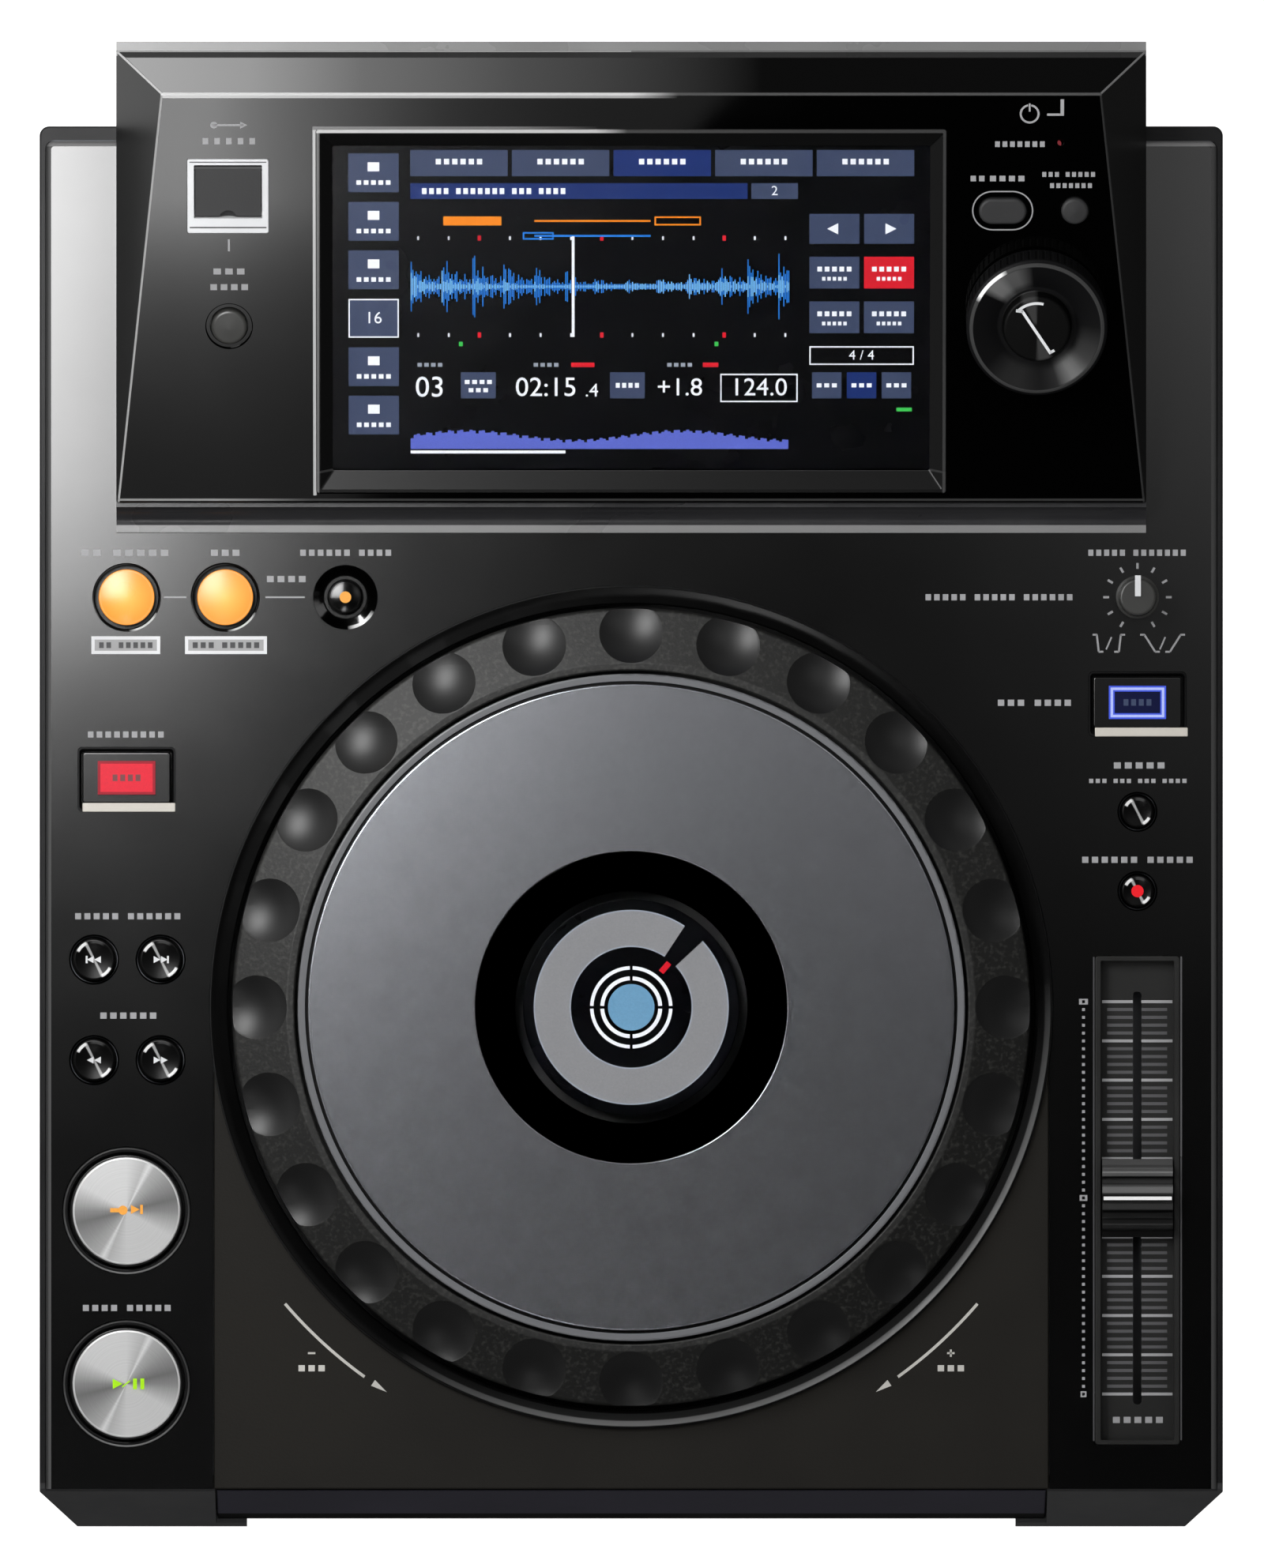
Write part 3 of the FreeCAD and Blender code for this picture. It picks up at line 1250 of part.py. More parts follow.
def parts():
    made = {
        "lower_case": lower_case(),
        "upper_case": upper_case(),
        "deck_chassis": deck_chassis(),
        "top_panel": top_panel(),
        "centre_panel": centre_panel(),
        "jog_bezel": jog_bezel(),
        "front_plate": front_plate(),
        "rear_plate": rear_plate(),
        "feet": feet(),
        "button_frames": button_frames(),
        "case_screws": case_screws(),
        "display_plinth": display_plinth(),
        "display_cover": display_cover(),
        "screen_bezel": screen_bezel(),
        "touch_glass": touch_glass(),
        "lcd_panel": lcd_panel(),
        "usb_frame": usb_frame(),
        "usb_lid": usb_lid(),
        "usb_socket": usb_socket(),
        "jog_base": jog_base(),
        "jog_bearing": jog_bearing(),
        "jog_hub": jog_hub(),
        "jog_ring": jog_ring(),
        "jog_touch_sheet": jog_touch_sheet(),
        "jog_plate": jog_plate(),
        "jog_window": jog_window(),
        "jog_display": jog_display(),
        "jog_slit_disc": jog_slit_disc(),
        "jog_sensor": jog_sensor(),
        "usb_stop_button": round_panel_button(STOP_AT, 4.6, 1.2),
        "back_button": back_button(),
        "tag_button": round_panel_button(TAG_AT, 3.5, 1.1),
        "speed_knob": speed_knob(),
        "rotary_bodies": group([speed_pot(), browse_encoder()]),
        "browse_knob": browse_knob(),
        "browse_rotor": browse_rotor(),
        "fader_cap": fader_cap(),
        "fader_body": fader_body(),
        "fader_tray": fader_tray(),
        "control_boards": control_boards(),
        "tact_switches": tact_switches(),
        "main_board": main_board(),
        "power_board": power_board(),
        "data_ports": group([lan_jack()] + usb_b_port().Solids),
        "signal_jacks": signal_jacks(),
        "ac_inlet": ac_inlet(),
        "power_button": power_button(),
    }
    for name, (at, radius, top, dish) in {**SMALL_BUTTONS, **LAMP_BUTTONS}.items():
        made[name] = round_button(at, radius, top, dish)
    for name, at in BIG_BUTTONS.items():
        made[name] = big_button(at)
    for name, at in KEYS.items():
        made[name] = key_button(at)
    return made


os.makedirs("parts", exist_ok=True)
for name, shape in parts().items():
    shape.exportStep(f"parts/{name}.step")
    print(f"{name}: {len(shape.Solids)} solids, {shape.Volume / 1000:.1f} cm3, valid {shape.isValid()}")
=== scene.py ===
import math
import bpy
from mathutils import Matrix, Vector


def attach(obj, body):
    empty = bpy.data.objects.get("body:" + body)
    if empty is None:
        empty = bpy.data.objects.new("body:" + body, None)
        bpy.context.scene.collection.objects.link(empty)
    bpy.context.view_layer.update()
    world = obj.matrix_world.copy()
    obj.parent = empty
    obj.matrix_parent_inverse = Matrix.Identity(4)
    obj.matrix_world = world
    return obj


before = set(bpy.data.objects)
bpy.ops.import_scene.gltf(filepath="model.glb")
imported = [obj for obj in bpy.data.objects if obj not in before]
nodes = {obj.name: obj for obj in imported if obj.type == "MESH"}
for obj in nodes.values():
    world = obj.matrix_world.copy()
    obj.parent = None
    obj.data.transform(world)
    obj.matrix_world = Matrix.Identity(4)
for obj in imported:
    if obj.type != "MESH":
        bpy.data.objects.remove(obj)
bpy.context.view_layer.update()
print("parts loaded:", len(nodes))

mm = 0.001
tilt = math.atan2(107.72 - 76.7, 178.3 - 73.0)  # lean of the display housing
wheelAt = (0.0, -57.4)


def atHeight(height, along=0.0):
    return Matrix.Translation((0, along * mm, height * mm))


# flat work is laid out in mm at the origin, then moved onto its surface by one of these
deckPlace, centrePlace, trayPlace = atHeight(70.0), atHeight(69.3), atHeight(66.9)
wheelPlace = atHeight(79.4, wheelAt[1])
facePlace = atHeight(76.7, 73.0) @ Matrix.Rotation(tilt, 4, "X")
screenPlace = facePlace @ atHeight(-3.8)


def onFace(across, up, out=0.0):
    # a point of the leaning face, in metres
    return facePlace @ Vector((across * mm, up * mm, out * mm))


def shade(red, green=None, blue=None):
    # a colour as it looks in the picture, 0 to 255, made linear
    values = (red, red if green is None else green, red if blue is None else blue)
    linear = []
    for value in values:
        part = value / 255
        linear.append(part / 12.92 if part <= 0.04045 else ((part + 0.055) / 1.055) ** 2.4)
    return (*linear, 1.0)


# small helpers for wiring nodes: each finds the node tree from the sockets it is given

def treeOf(*values):
    # the node tree of the first value that is a socket
    return next(value.id_data for value in values if isinstance(value, bpy.types.NodeSocket))


def feed(socket, value):
    if isinstance(value, bpy.types.NodeSocket):
        socket.id_data.links.new(value, socket)
    else:
        socket.default_value = value


def calc(operation, first, second=0.0, third=0.0):
    node = treeOf(first, second, third).nodes.new("ShaderNodeMath")
    node.operation = operation
    for socket, value in zip(node.inputs, (first, second, third)):
        feed(socket, value)
    return node.outputs[0]


def vectorCalc(operation, first, second=(0, 0, 0), factor=None):
    node = first.id_data.nodes.new("ShaderNodeVectorMath")
    node.operation = operation
    feed(node.inputs[0], first)
    feed(node.inputs[1], second)
    if factor is not None:
        feed(node.inputs["Scale"], factor)
    return node.outputs["Value" if operation == "DOT_PRODUCT" else "Vector"]


def blendColour(mask, first, second):
    node = mask.id_data.nodes.new("ShaderNodeMix")
    node.data_type = "RGBA"
    feed(node.inputs["Factor"], mask)
    feed(node.inputs[6], first)
    feed(node.inputs[7], second)
    return node.outputs[2]


def ramp(value, low, high, start=0.0, end=1.0):
    # start below low, end above high, straight between
    node = value.id_data.nodes.new("ShaderNodeMapRange")
    labels = ("Value", "From Min", "From Max", "To Min", "To Max")
    for label, amount in zip(labels, (value, low, high, start, end)):
        feed(node.inputs[label], amount)
    return node.outputs["Result"]


def gradient(value, points):
    # straight from one (place, level) pair to the next
    total = points[0][1]
    for (low, start), (high, end) in zip(points, points[1:]):
        total = calc("ADD", ramp(value, low, high, 0.0, end - start), total)
    return total


def noiseOf(vector, scale, detail=2.0):
    node = vector.id_data.nodes.new("ShaderNodeTexNoise")
    feed(node.inputs["Vector"], vector)
    feed(node.inputs["Scale"], scale)
    node.inputs["Detail"].default_value = detail
    return node.outputs["Fac"]


def axes(vector):
    node = vector.id_data.nodes.new("ShaderNodeSeparateXYZ")
    feed(node.inputs[0], vector)
    return node.outputs


def above(value, limit, soft=0.03):
    # 1 above a limit in mm, 0 below it
    return ramp(value, (limit - soft) * mm, (limit + soft) * mm)


def below(value, limit, soft=0.03):
    return ramp(value, (limit + soft) * mm, (limit - soft) * mm)


def overlap(*masks):
    total = masks[0]
    for mask in masks[1:]:
        total = calc("MULTIPLY", total, mask)
    return total


def between(value, limits, soft=0.03):
    return overlap(above(value, limits[0], soft), below(value, limits[1], soft))


def nearAngle(azimuth, middle, half, soft=3.0, period=360.0):
    # 1 within half of the middle, all in degrees
    away = calc("WRAP", calc("SUBTRACT", azimuth, middle), period / 2, -period / 2)
    return ramp(calc("ABSOLUTE", away), half + soft, half)


def overlay(shader, mask, colour, roughness=None):
    # lays another colour, and roughness, where the mask is 1
    before = shader.inputs["Base Color"].links[0].from_socket
    feed(shader.inputs["Base Color"], blendColour(mask, before, colour))
    if roughness is not None:
        before = shader.inputs["Roughness"].links[0].from_socket
        feed(shader.inputs["Roughness"], ramp(mask, 0.0, 1.0, before, roughness))


def greyLevels(value, points, unit=1.0):
    # a grey that runs from one (place, level as seen) pair to the next
    level = gradient(value, [(at * unit, shade(tone)[0]) for at, tone in points])
    return blendColour(level, (0, 0, 0, 1), (1, 1, 1, 1))


def newGroup(name, takes, gives):
    group = bpy.data.node_groups.new(name, "ShaderNodeTree")
    for label, kind, value in takes:
        socket = group.interface.new_socket(label, in_out="INPUT", socket_type="NodeSocket" + kind)
        socket.default_value = value
    for label, kind in gives:
        group.interface.new_socket(label, in_out="OUTPUT", socket_type="NodeSocket" + kind)
    return group, group.nodes.new("NodeGroupInput").outputs, group.nodes.new("NodeGroupOutput").inputs


def place(group, **values):
    node = treeOf(*values.values()).nodes.new("ShaderNodeGroup")
    node.node_tree = group
    for label, value in values.items():
        feed(node.inputs[label.replace("_", " ")], value)
    return node.outputs


# Height and Patches of a moulded or painted surface
surfaceGrain, takes, gives = newGroup(
    "surfaceGrain",
    [("Point", "Vector", (0, 0, 0)), ("Fineness", "Float", 2500.0), ("Patch fineness", "Float", 30.0)],
    [("Height", "Float"), ("Patches", "Float")],
)
feed(gives["Height"], noiseOf(takes["Point"], takes["Fineness"], 3.0))
patches = noiseOf(takes["Point"], takes["Patch fineness"], 4.0)
feed(gives["Patches"], ramp(patches, 0.3, 0.7))

# distance and azimuth, in degrees, about a centre, and the offsets along two given ways and out from both
polarPlace, takes, gives = newGroup(
    "polarPlace",
    [
        ("Point", "Vector", (0, 0, 0)), ("Centre", "Vector", (0, 0, 0)),
        ("Right", "Vector", (1, 0, 0)), ("Up", "Vector", (0, 1, 0)),
    ],
    [(label, "Float") for label in ("Radius", "Azimuth", "Rightward", "Upward", "Outward")],
)
fromCentre = vectorCalc("SUBTRACT", takes["Point"], takes["Centre"])
rightward = vectorCalc("DOT_PRODUCT", fromCentre, takes["Right"])
upward = vectorCalc("DOT_PRODUCT", fromCentre, takes["Up"])
facing = vectorCalc("CROSS_PRODUCT", takes["Right"], takes["Up"])
outward = vectorCalc("DOT_PRODUCT", fromCentre, facing)
squares = [calc("MULTIPLY", way, way) for way in (rightward, upward)]
azimuth = calc("ARCTAN2", upward, rightward)
feed(gives["Radius"], calc("SQRT", calc("ADD", *squares)))
feed(gives["Azimuth"], calc("DEGREES", azimuth))
feed(gives["Rightward"], rightward)
feed(gives["Upward"], upward)
feed(gives["Outward"], outward)


def around(point, x, y, **ways):
    # polarPlace about an upright axis through a place in mm
    return place(polarPlace, Point=point, Centre=(x * mm, y * mm, 0), **ways)


# faint tone of the rings that a lathe tool leaves
turnedTone, takes, gives = newGroup(
    "turnedTone", [("Radius", "Float", 0.0), ("Fineness", "Float", 2500.0)], [("Tone", "Float")]
)
rings = turnedTone.nodes.new("ShaderNodeTexNoise")
rings.noise_dimensions = "1D"
rings.inputs["Detail"].default_value = 2.0
rings.inputs["Scale"].default_value = 1.0
feed(rings.inputs["W"], calc("MULTIPLY", takes["Radius"], takes["Fineness"]))
feed(gives["Tone"], rings.outputs["Fac"])


finishes = {}
finishSettings = {
    # name: colour, roughness, fineness and depth of the grain, then what differs from a plain moulding
    "caseBlack": ((44, 44, 46), 0.40, 2600, 0.012),
    "beltBlack": ((26, 26, 27), 0.45, 2600, 0.012, dict(specular=0.15)),
    "chassisGrey": ((88, 90, 94), 0.42, 900, 0.02, dict(metallic=0.9)),
    "centreOlive": ((31, 29, 25), 0.62, 1500, 0.04, dict(specular=0.15)),
    "frontSlate": ((50, 49, 58), 0.62, 1800, 0.03, dict(specular=0.1)),
    "plinthBlack": ((40, 40, 42), 0.30, 2600, 0.01),
    "coverGloss": ((2,), 0.04, 300, 0.0004, dict(spread=0.015, specular=0.25)),
    "bezelGloss": ((5,), 0.12, 2600, 0.001, dict(spread=0.02, specular=0.25)),
    "jogGloss": ((8,), 0.2, 2600, 0.001, dict(spread=0.02, specular=0.3)),
    "frameBlack": ((9, 9, 10), 0.45, 2600, 0.01, dict(specular=0.15)),
    "capBlack": ((22, 22, 23), 0.25, 3200, 0.006),
    "capDeep": ((7,), 0.16, 3200, 0.002, dict(spread=0.02)),
    "knobGrey": ((56, 56, 54), 0.42, 3200, 0.01),
    "trayBlack": ((33, 33, 32), 0.5, 2600, 0.012, dict(specular=0.3)),
    "capRubber": ((44, 44, 45), 0.60, 2200, 0.03, dict(specular=0.4)),
    "rubberBlack": ((26, 26, 26), 0.72, 1400, 0.05, dict(specular=0.3)),
    "wheelBlack": ((40, 40, 40), 0.45, 1800, 0.03),
    "rearPaint": ((46, 46, 47), 0.46, 1500, 0.05),
    "steelPlain": ((170, 172, 175), 0.32, 700, 0.01, dict(metallic=1.0)),
    "screwSteel": ((70, 70, 72), 0.35, 1200, 0.01, dict(metallic=1.0)),
    "creamPlastic": ((215, 208, 188), 0.5, 1800, 0.01),
    "brassTurned": ((205, 170, 95), 0.28, 900, 0.01, dict(metallic=1.0)),
    "keyRubber": ((6,), 0.22, 2600, 0.002, dict(spread=0.01, specular=0.9)),
    "printWhite": ((250,), 0.5, 5000, 0.004, dict(tone=0.02)),
    "lipHighlight": ((205, 200, 190), 0.4, 2600, 0.01, dict(tone=0.05)),
    "keyShadow": ((110, 8, 22), 0.5, 2600, 0.004),
    "lcdBlack": ((3, 3, 5), 0.3, 6000, 0.001, dict(spread=0.04, specular=0.1)),
}
# inks of the printed marks
printTones = {
    "printGrey": (160, 160, 162), "printPale": (225, 226, 228), "printDark": (84, 84, 86),
    "printMid": (165, 165, 166), "printShade": (70, 70, 72), "printSoft": (196, 194, 188),
}


def startMaterial(name, roughness, specular=0.5, metallic=0.0):
    material = bpy.data.materials.new(name)
    material.use_nodes = True
    tree = material.node_tree
    shader = tree.nodes["Principled BSDF"]
    shader.inputs["Roughness"].default_value = roughness
    shader.inputs["Specular IOR Level"].default_value = specular
    shader.inputs["Metallic"].default_value = metallic
    point = tree.nodes.new("ShaderNodeTexCoord").outputs["Object"]
    finishes[name] = material
    return shader, point


def addBump(shader, height, depth):
    bump = shader.id_data.nodes.new("ShaderNodeBump")
    bump.inputs["Distance"].default_value = depth * mm
    feed(bump.inputs["Height"], height)
    feed(shader.inputs["Normal"], bump.outputs["Normal"])


def addGrain(shader, point, fineness, depth, roughness, spread=0.08, patch=35.0):
    # fine bump, and a roughness that drifts from place to place
    grain = place(surfaceGrain, Point=point, Fineness=float(fineness), Patch_fineness=patch)
    addBump(shader, grain["Height"], depth)
    low, high = max(0.02, roughness - spread), roughness + spread
    feed(shader.inputs["Roughness"], ramp(grain["Patches"], 0.0, 1.0, low, high))
    return grain


def lighter(colour, factor):
    return (*(min(1.0, part * factor) for part in colour[:3]), 1.0)


def plainFinish(name, colour, roughness, fineness, depth, spread=0.08, specular=0.5, metallic=0.0, tone=0.12):
    shader, point = startMaterial(name, roughness, specular, metallic)
    grain = addGrain(shader, point, fineness, depth, roughness, spread)
    mixed = blendColour(grain["Patches"], lighter(colour, 1 - tone), lighter(colour, 1 + tone))
    feed(shader.inputs["Base Color"], mixed)
    return shader, point


plain = {}
for name, (tones, roughness, fineness, depth, *others) in finishSettings.items():
    plain[name] = plainFinish(name, shade(*tones), roughness, fineness, depth, **dict(*others))
for name, tones in printTones.items():
    plainFinish(name, shade(*tones), 0.6, 5000, 0.004, specular=0.3)


def litFinish(name, colour):
    # a lamp or lit pixel: dark plastic that glows in its own colour
    shader, point = startMaterial(name, 0.35, 0.2)
    addGrain(shader, point, 4000, 0.002, 0.35)
    shader.inputs["Base Color"].default_value = lighter(colour, 0.12)
    grain = place(surfaceGrain, Point=point, Fineness=6000.0, Patch_fineness=2500.0)
    mixed = blendColour(grain["Patches"], lighter(colour, 0.94), lighter(colour, 1.06))
    feed(shader.inputs["Emission Color"], mixed)
    shader.inputs["Emission Strength"].default_value = 1.0


litTones = {
    "litWhite": (238, 240, 245), "litGrey": (150, 156, 168), "litSlate": (58, 68, 94), "litNavy": (24, 44, 104),
    "litBlue": (34, 120, 214), "litPaleBlue": (120, 190, 250), "litIndigo": (88, 100, 190),
    "litRed": (205, 24, 40), "litOrange": (232, 130, 24), "litGreen": (60, 190, 80), "lampRed": (225, 30, 40),
    "lampOrange": (240, 165, 70), "lampGreen": (165, 225, 30), "lampBlue": (66, 88, 212),
    "lampPaleBlue": (172, 184, 240), "keyRed": (224, 32, 54), "keyDeep": (158, 20, 40), "keyNavy": (8, 14, 52),
    "litBand": (134, 134, 136), "litSky": (104, 150, 182), "lampDim": (120, 40, 46),
}
for name, tones in litTones.items():
    litFinish(name, shade(*tones))

print("plain finishes made:", len(finishes))


# the deck skin: satin black that picks up the soft light, with painted highlights on its turned-down side and rear
# edges
deckFinish = {"colour": shade(3), "roughness": 0.2, "fineness": 3000, "depth": 0.0015}
deckRimHighlights = {"side": 149.98, "sideTone": shade(70), "rear": 165.2, "rearTone": shade(120)}
shader, point = plainFinish("deckSatin", **deckFinish, specular=0.95, spread=0.008)
where = axes(point)
aside = calc("ABSOLUTE", where["X"])
overlay(shader, above(aside, deckRimHighlights["side"]), deckRimHighlights["sideTone"])
overlay(shader, above(where["Y"], deckRimHighlights["rear"]), deckRimHighlights["rearTone"])
# polished dishes round three buttons, with a painted highlight in an arc at the lower right
deckDishes = (
    # centre, inner and outer radius, and where the painted highlight's arc starts
    ((-130.5, 48.6), 8.0, 8.95, 8.45), ((-105.0, 48.6), 8.0, 8.95, 8.45), ((-73.9, 48.6), 5.5, 8.35, 7.5),
)
for (x, y), inner, outer, glintFrom in deckDishes:
    polar = around(point, x, y)
    isDish = between(polar["Radius"], (inner, outer))
    overlay(shader, isDish, shade(2), 0.07)
    # painted highlight: a pale arc at the lower right of each dish
    lit = nearAngle(polar["Azimuth"], -56.0, 16.0, 14.0)
    glintArc = overlap(isDish, above(polar["Radius"], glintFrom), lit)
    overlay(shader, glintArc, shade(225))

# painted highlights on the level ledges before and behind the housing, and painted light on the nose in front of the
# deck, where it faces the bright room
ledgeAndNoseLight = {
    "front": 67.25, "rear": 189.85, "tone": shade(128), "noseFrom": -180.5, "noseTone": shade(56, 56, 57),
}
shader, point = plain["plinthBlack"]
where = axes(point)
overlay(shader, below(where["Y"], ledgeAndNoseLight["front"]), ledgeAndNoseLight["tone"])
overlay(shader, above(where["Y"], ledgeAndNoseLight["rear"]), ledgeAndNoseLight["tone"])
# painted light: the nose is lighter where it faces the bright room
shader, point = plain["beltBlack"]
overlay(shader, below(axes(point)["Y"], ledgeAndNoseLight["noseFrom"]), ledgeAndNoseLight["noseTone"])

# dark lines along the top and foot of the front plate: its joints, darkened further with painted shade
frontJointShade = {"above": -182.4, "below": -188.7, "tone": shade(10)}
shader, point = plain["frontSlate"]
where = axes(point)
overlay(shader, above(where["Y"], frontJointShade["above"]), frontJointShade["tone"])
overlay(shader, below(where["Y"], frontJointShade["below"]), frontJointShade["tone"])

# ring round the wheel: a painted highlight, a pale line and a grey band on its slope at the lower right, where it
# faces the soft box; darker and rougher beyond its outer edge
bezelHighlights = {
    "line": (107.0, 108.4), "lineTone": shade(122), "band": (105.2, 107.0), "bandTone": shade(44),
    "outer": 108.75,
}
shader, point = plain["jogGloss"]
polar = around(point, *wheelAt)
lit = nearAngle(polar["Azimuth"], -60.0, 36.0, 28.0)
for band, tone in (("band", "bandTone"), ("line", "lineTone")):
    isBand = overlap(between(polar["Radius"], bezelHighlights[band], 0.15), lit)
    overlay(shader, isBand, bezelHighlights[tone])
overlay(shader, above(polar["Radius"], bezelHighlights["outer"]), shade(4), 0.7)

# gloss cover: satin sides, and painted highlights along its edges, mitres, foot and front, and beside the screen's
# frame, brighter on the left where the light falls. Places are across and up the face, and out from it, in mm
coverLook = {
    # offset in mm, and lean, of the planes of the sides and of the rear
    "sides": (161.216, 0.3724), "rear": (216.747, 0.3569),
    "side": shade(27), "sideRough": 0.35, "edge": 0.4,
    "leftEdge": shade(160), "rightEdge": shade(48), "leftMitre": shade(205), "rightMitre": shade(130),
    "rearEdge": shade(205), "rearEdgeRight": shade(80), "rearInner": shade(165), "innerTo": 6.0,
    "footLeft": shade(185), "footRight": shade(125), "frontLine": shade(55), "frontLineLeft": shade(140),
}
upFace = {"Centre": tuple(onFace(0, 0)), "Up": (0.0, math.cos(tilt), math.sin(tilt))}
shader, point = plain["coverGloss"]
where = axes(point)
onCover = place(polarPlace, Point=point, **upFace)
across, up, out = onCover["Rightward"], onCover["Upward"], onCover["Outward"]
sideAway, rearAway = (
    calc("SUBTRACT", calc("SUBTRACT", offset * mm, calc("MULTIPLY", where["Z"], lean)), reach)
    for (offset, lean), reach in (
        (coverLook["sides"], calc("ABSOLUTE", across)), (coverLook["rear"], where["Y"]),
    )
)
isLeft, isRight = below(across, 0), above(across, 0)
nearSide = below(sideAway, coverLook["edge"])
nearRear = below(rearAway, coverLook["edge"])
onTop = above(out, -0.4)
overlay(shader, nearSide, coverLook["side"], coverLook["sideRough"])
# painted highlights on the edges, mitres and foot of each side, lighter on the left
for half, edgeTone, mitreTone, footTone in (
    (isLeft, coverLook["leftEdge"], coverLook["leftMitre"], coverLook["footLeft"]),
    (isRight, coverLook["rightEdge"], coverLook["rightMitre"], coverLook["footRight"]),
):
    overlay(shader, overlap(half, nearSide, onTop), edgeTone)
    overlay(shader, overlap(half, nearSide, nearRear), mitreTone)
    lowRear = overlap(half, below(where["Z"], 76.4), above(where["Y"], 188.5))
    overlay(shader, lowRear, footTone)
# painted highlights along the rear's top edge, brightest toward the left
isInner = ramp(across, (coverLook["innerTo"] + 6) * mm, (coverLook["innerTo"] - 6) * mm)
innerBand = overlap(above(up, 108.5), above(out, -0.05, 0.02), isInner)
overlay(shader, innerBand, coverLook["rearInner"])
topEdge = overlap(above(up, 109.2), above(out, -0.6))
overlay(shader, topEdge, coverLook["rearEdgeRight"])
overlay(shader, overlap(topEdge, isInner), coverLook["rearEdge"])
# painted highlight along the face's front edge, brighter on the left
frontLine = overlap(between(up, (0.5, 1.1)), onTop)
overlay(shader, frontLine, coverLook["frontLine"])
overlay(shader, overlap(frontLine, below(across, -95, 12)), coverLook["frontLineLeft"])
# painted highlights beside and above the screen's frame
besideFrame = overlap(between(across, (-82.15, -81.3)), between(up, (2.0, 100.9)))
overlay(shader, besideFrame, shade(178))
leftHalf = overlap(above(across, -82.15), below(across, -20, 12))
overlay(shader, overlap(leftHalf, between(up, (100.0, 100.9))), shade(110))

# frame of the screen: painted highlights on its top and side lands and at the foot of its lower slope, the top
# brightest on the left, and painted sheen on its lower slope, slightly lighter and rougher
frameHighlights = {
    "top": shade(190), "topRight": shade(62), "left": shade(100), "right": shade(62), "slope": shade(10),
    "foot": shade(48),
}
shader, point = plain["bezelGloss"]
onFrame = place(polarPlace, Point=point, **upFace)
across, up = onFrame["Rightward"], onFrame["Upward"]
overlay(shader, below(up, 8.25), frameHighlights["slope"], 0.3)
overlay(shader, between(up, (7.9, 8.5)), frameHighlights["foot"])
overlay(shader, below(across, -80.6), frameHighlights["left"])
overlay(shader, above(across, 80.4), frameHighlights["right"])
onTopLand = above(up, 99.15)
overlay(shader, onTopLand, frameHighlights["topRight"])
overlay(shader, overlap(onTopLand, below(across, -5, 4)), frameHighlights["top"])

# rings round the two big buttons: a painted highlight on the outer edge, brightest in front
spunDiscs = {"cueDisc": (-130.5, -110.1), "playDisc": (-130.5, -154.8)}
ringHighlight = {"edge": (15.9, 16.5), "levels": [(-16.4, 125), (-8, 95), (0, 62), (16.4, 52)]}
shader, point = plain["frameBlack"]
for centre in spunDiscs.values():
    polar = around(point, *centre)
    tone = greyLevels(polar["Upward"], ringHighlight["levels"], mm)
    overlay(shader, between(polar["Radius"], ringHighlight["edge"]), tone)

# spun discs of the two big buttons: a painted reflection of grey levels over half a turn, the same on the other
# half, and a painted highlight round the rim
spunSheen = {
    "levels": [
        (0, 150), (14, 122), (36, 158), (57, 186), (63, 236),
        (69, 196), (90, 222), (150, 222), (168, 184), (180, 150),
    ],
    "discRadius": 13.95, "metallic": 0.3, "roughness": 0.34,
}


def spunFinish(name, centre):
    shader, point = startMaterial(name, spunSheen["roughness"])
    polar = around(point, *centre)
    halfTurn = calc("FLOORED_MODULO", polar["Azimuth"], 180.0)
    sheen = greyLevels(halfTurn, spunSheen["levels"])
    tone = place(turnedTone, Radius=polar["Radius"])["Tone"]
    grooved = blendColour(calc("MULTIPLY", tone, 0.16), sheen, shade(60))
    radius = spunSheen["discRadius"]
    # painted highlight round the rim of the disc
    bright = blendColour(above(polar["Radius"], radius - 0.55), grooved, shade(226))
    isDisc = below(polar["Radius"], radius)
    feed(shader.inputs["Base Color"], blendColour(isDisc, shade(6), bright))
    feed(shader.inputs["Metallic"], calc("MULTIPLY", isDisc, spunSheen["metallic"]))
    feed(shader.inputs["Roughness"], ramp(tone, 0, 1, 0.26, 0.42))


for name, centre in spunDiscs.items():
    spunFinish(name, centre)

# small turned caps: black, with a painted reflection: a streak across, a bright hook at each end of it and a dim arc
capStreaks = {
    # where each cap is, and its radius
    "track_back_button": (-138.9, -45.1, 5.4), "track_forward_button": (-121.7, -45.1, 5.4),
    "search_back_button": (-138.9, -71.1, 5.4), "search_forward_button": (-121.7, -71.1, 5.4),
    "tempo_range_button": (130.9, -6.9, 4.1), "master_tempo_button": (130.9, -27.4, 4.1),
}
streakReflection = {
    # way it points, in degrees, and half its width at the middle and at the rim
    "heading": 117.0, "half": (0.24, 0.42),
    "line": shade(168), "hook": shade(240), "dim": shade(66), "ground": shade(8),
}


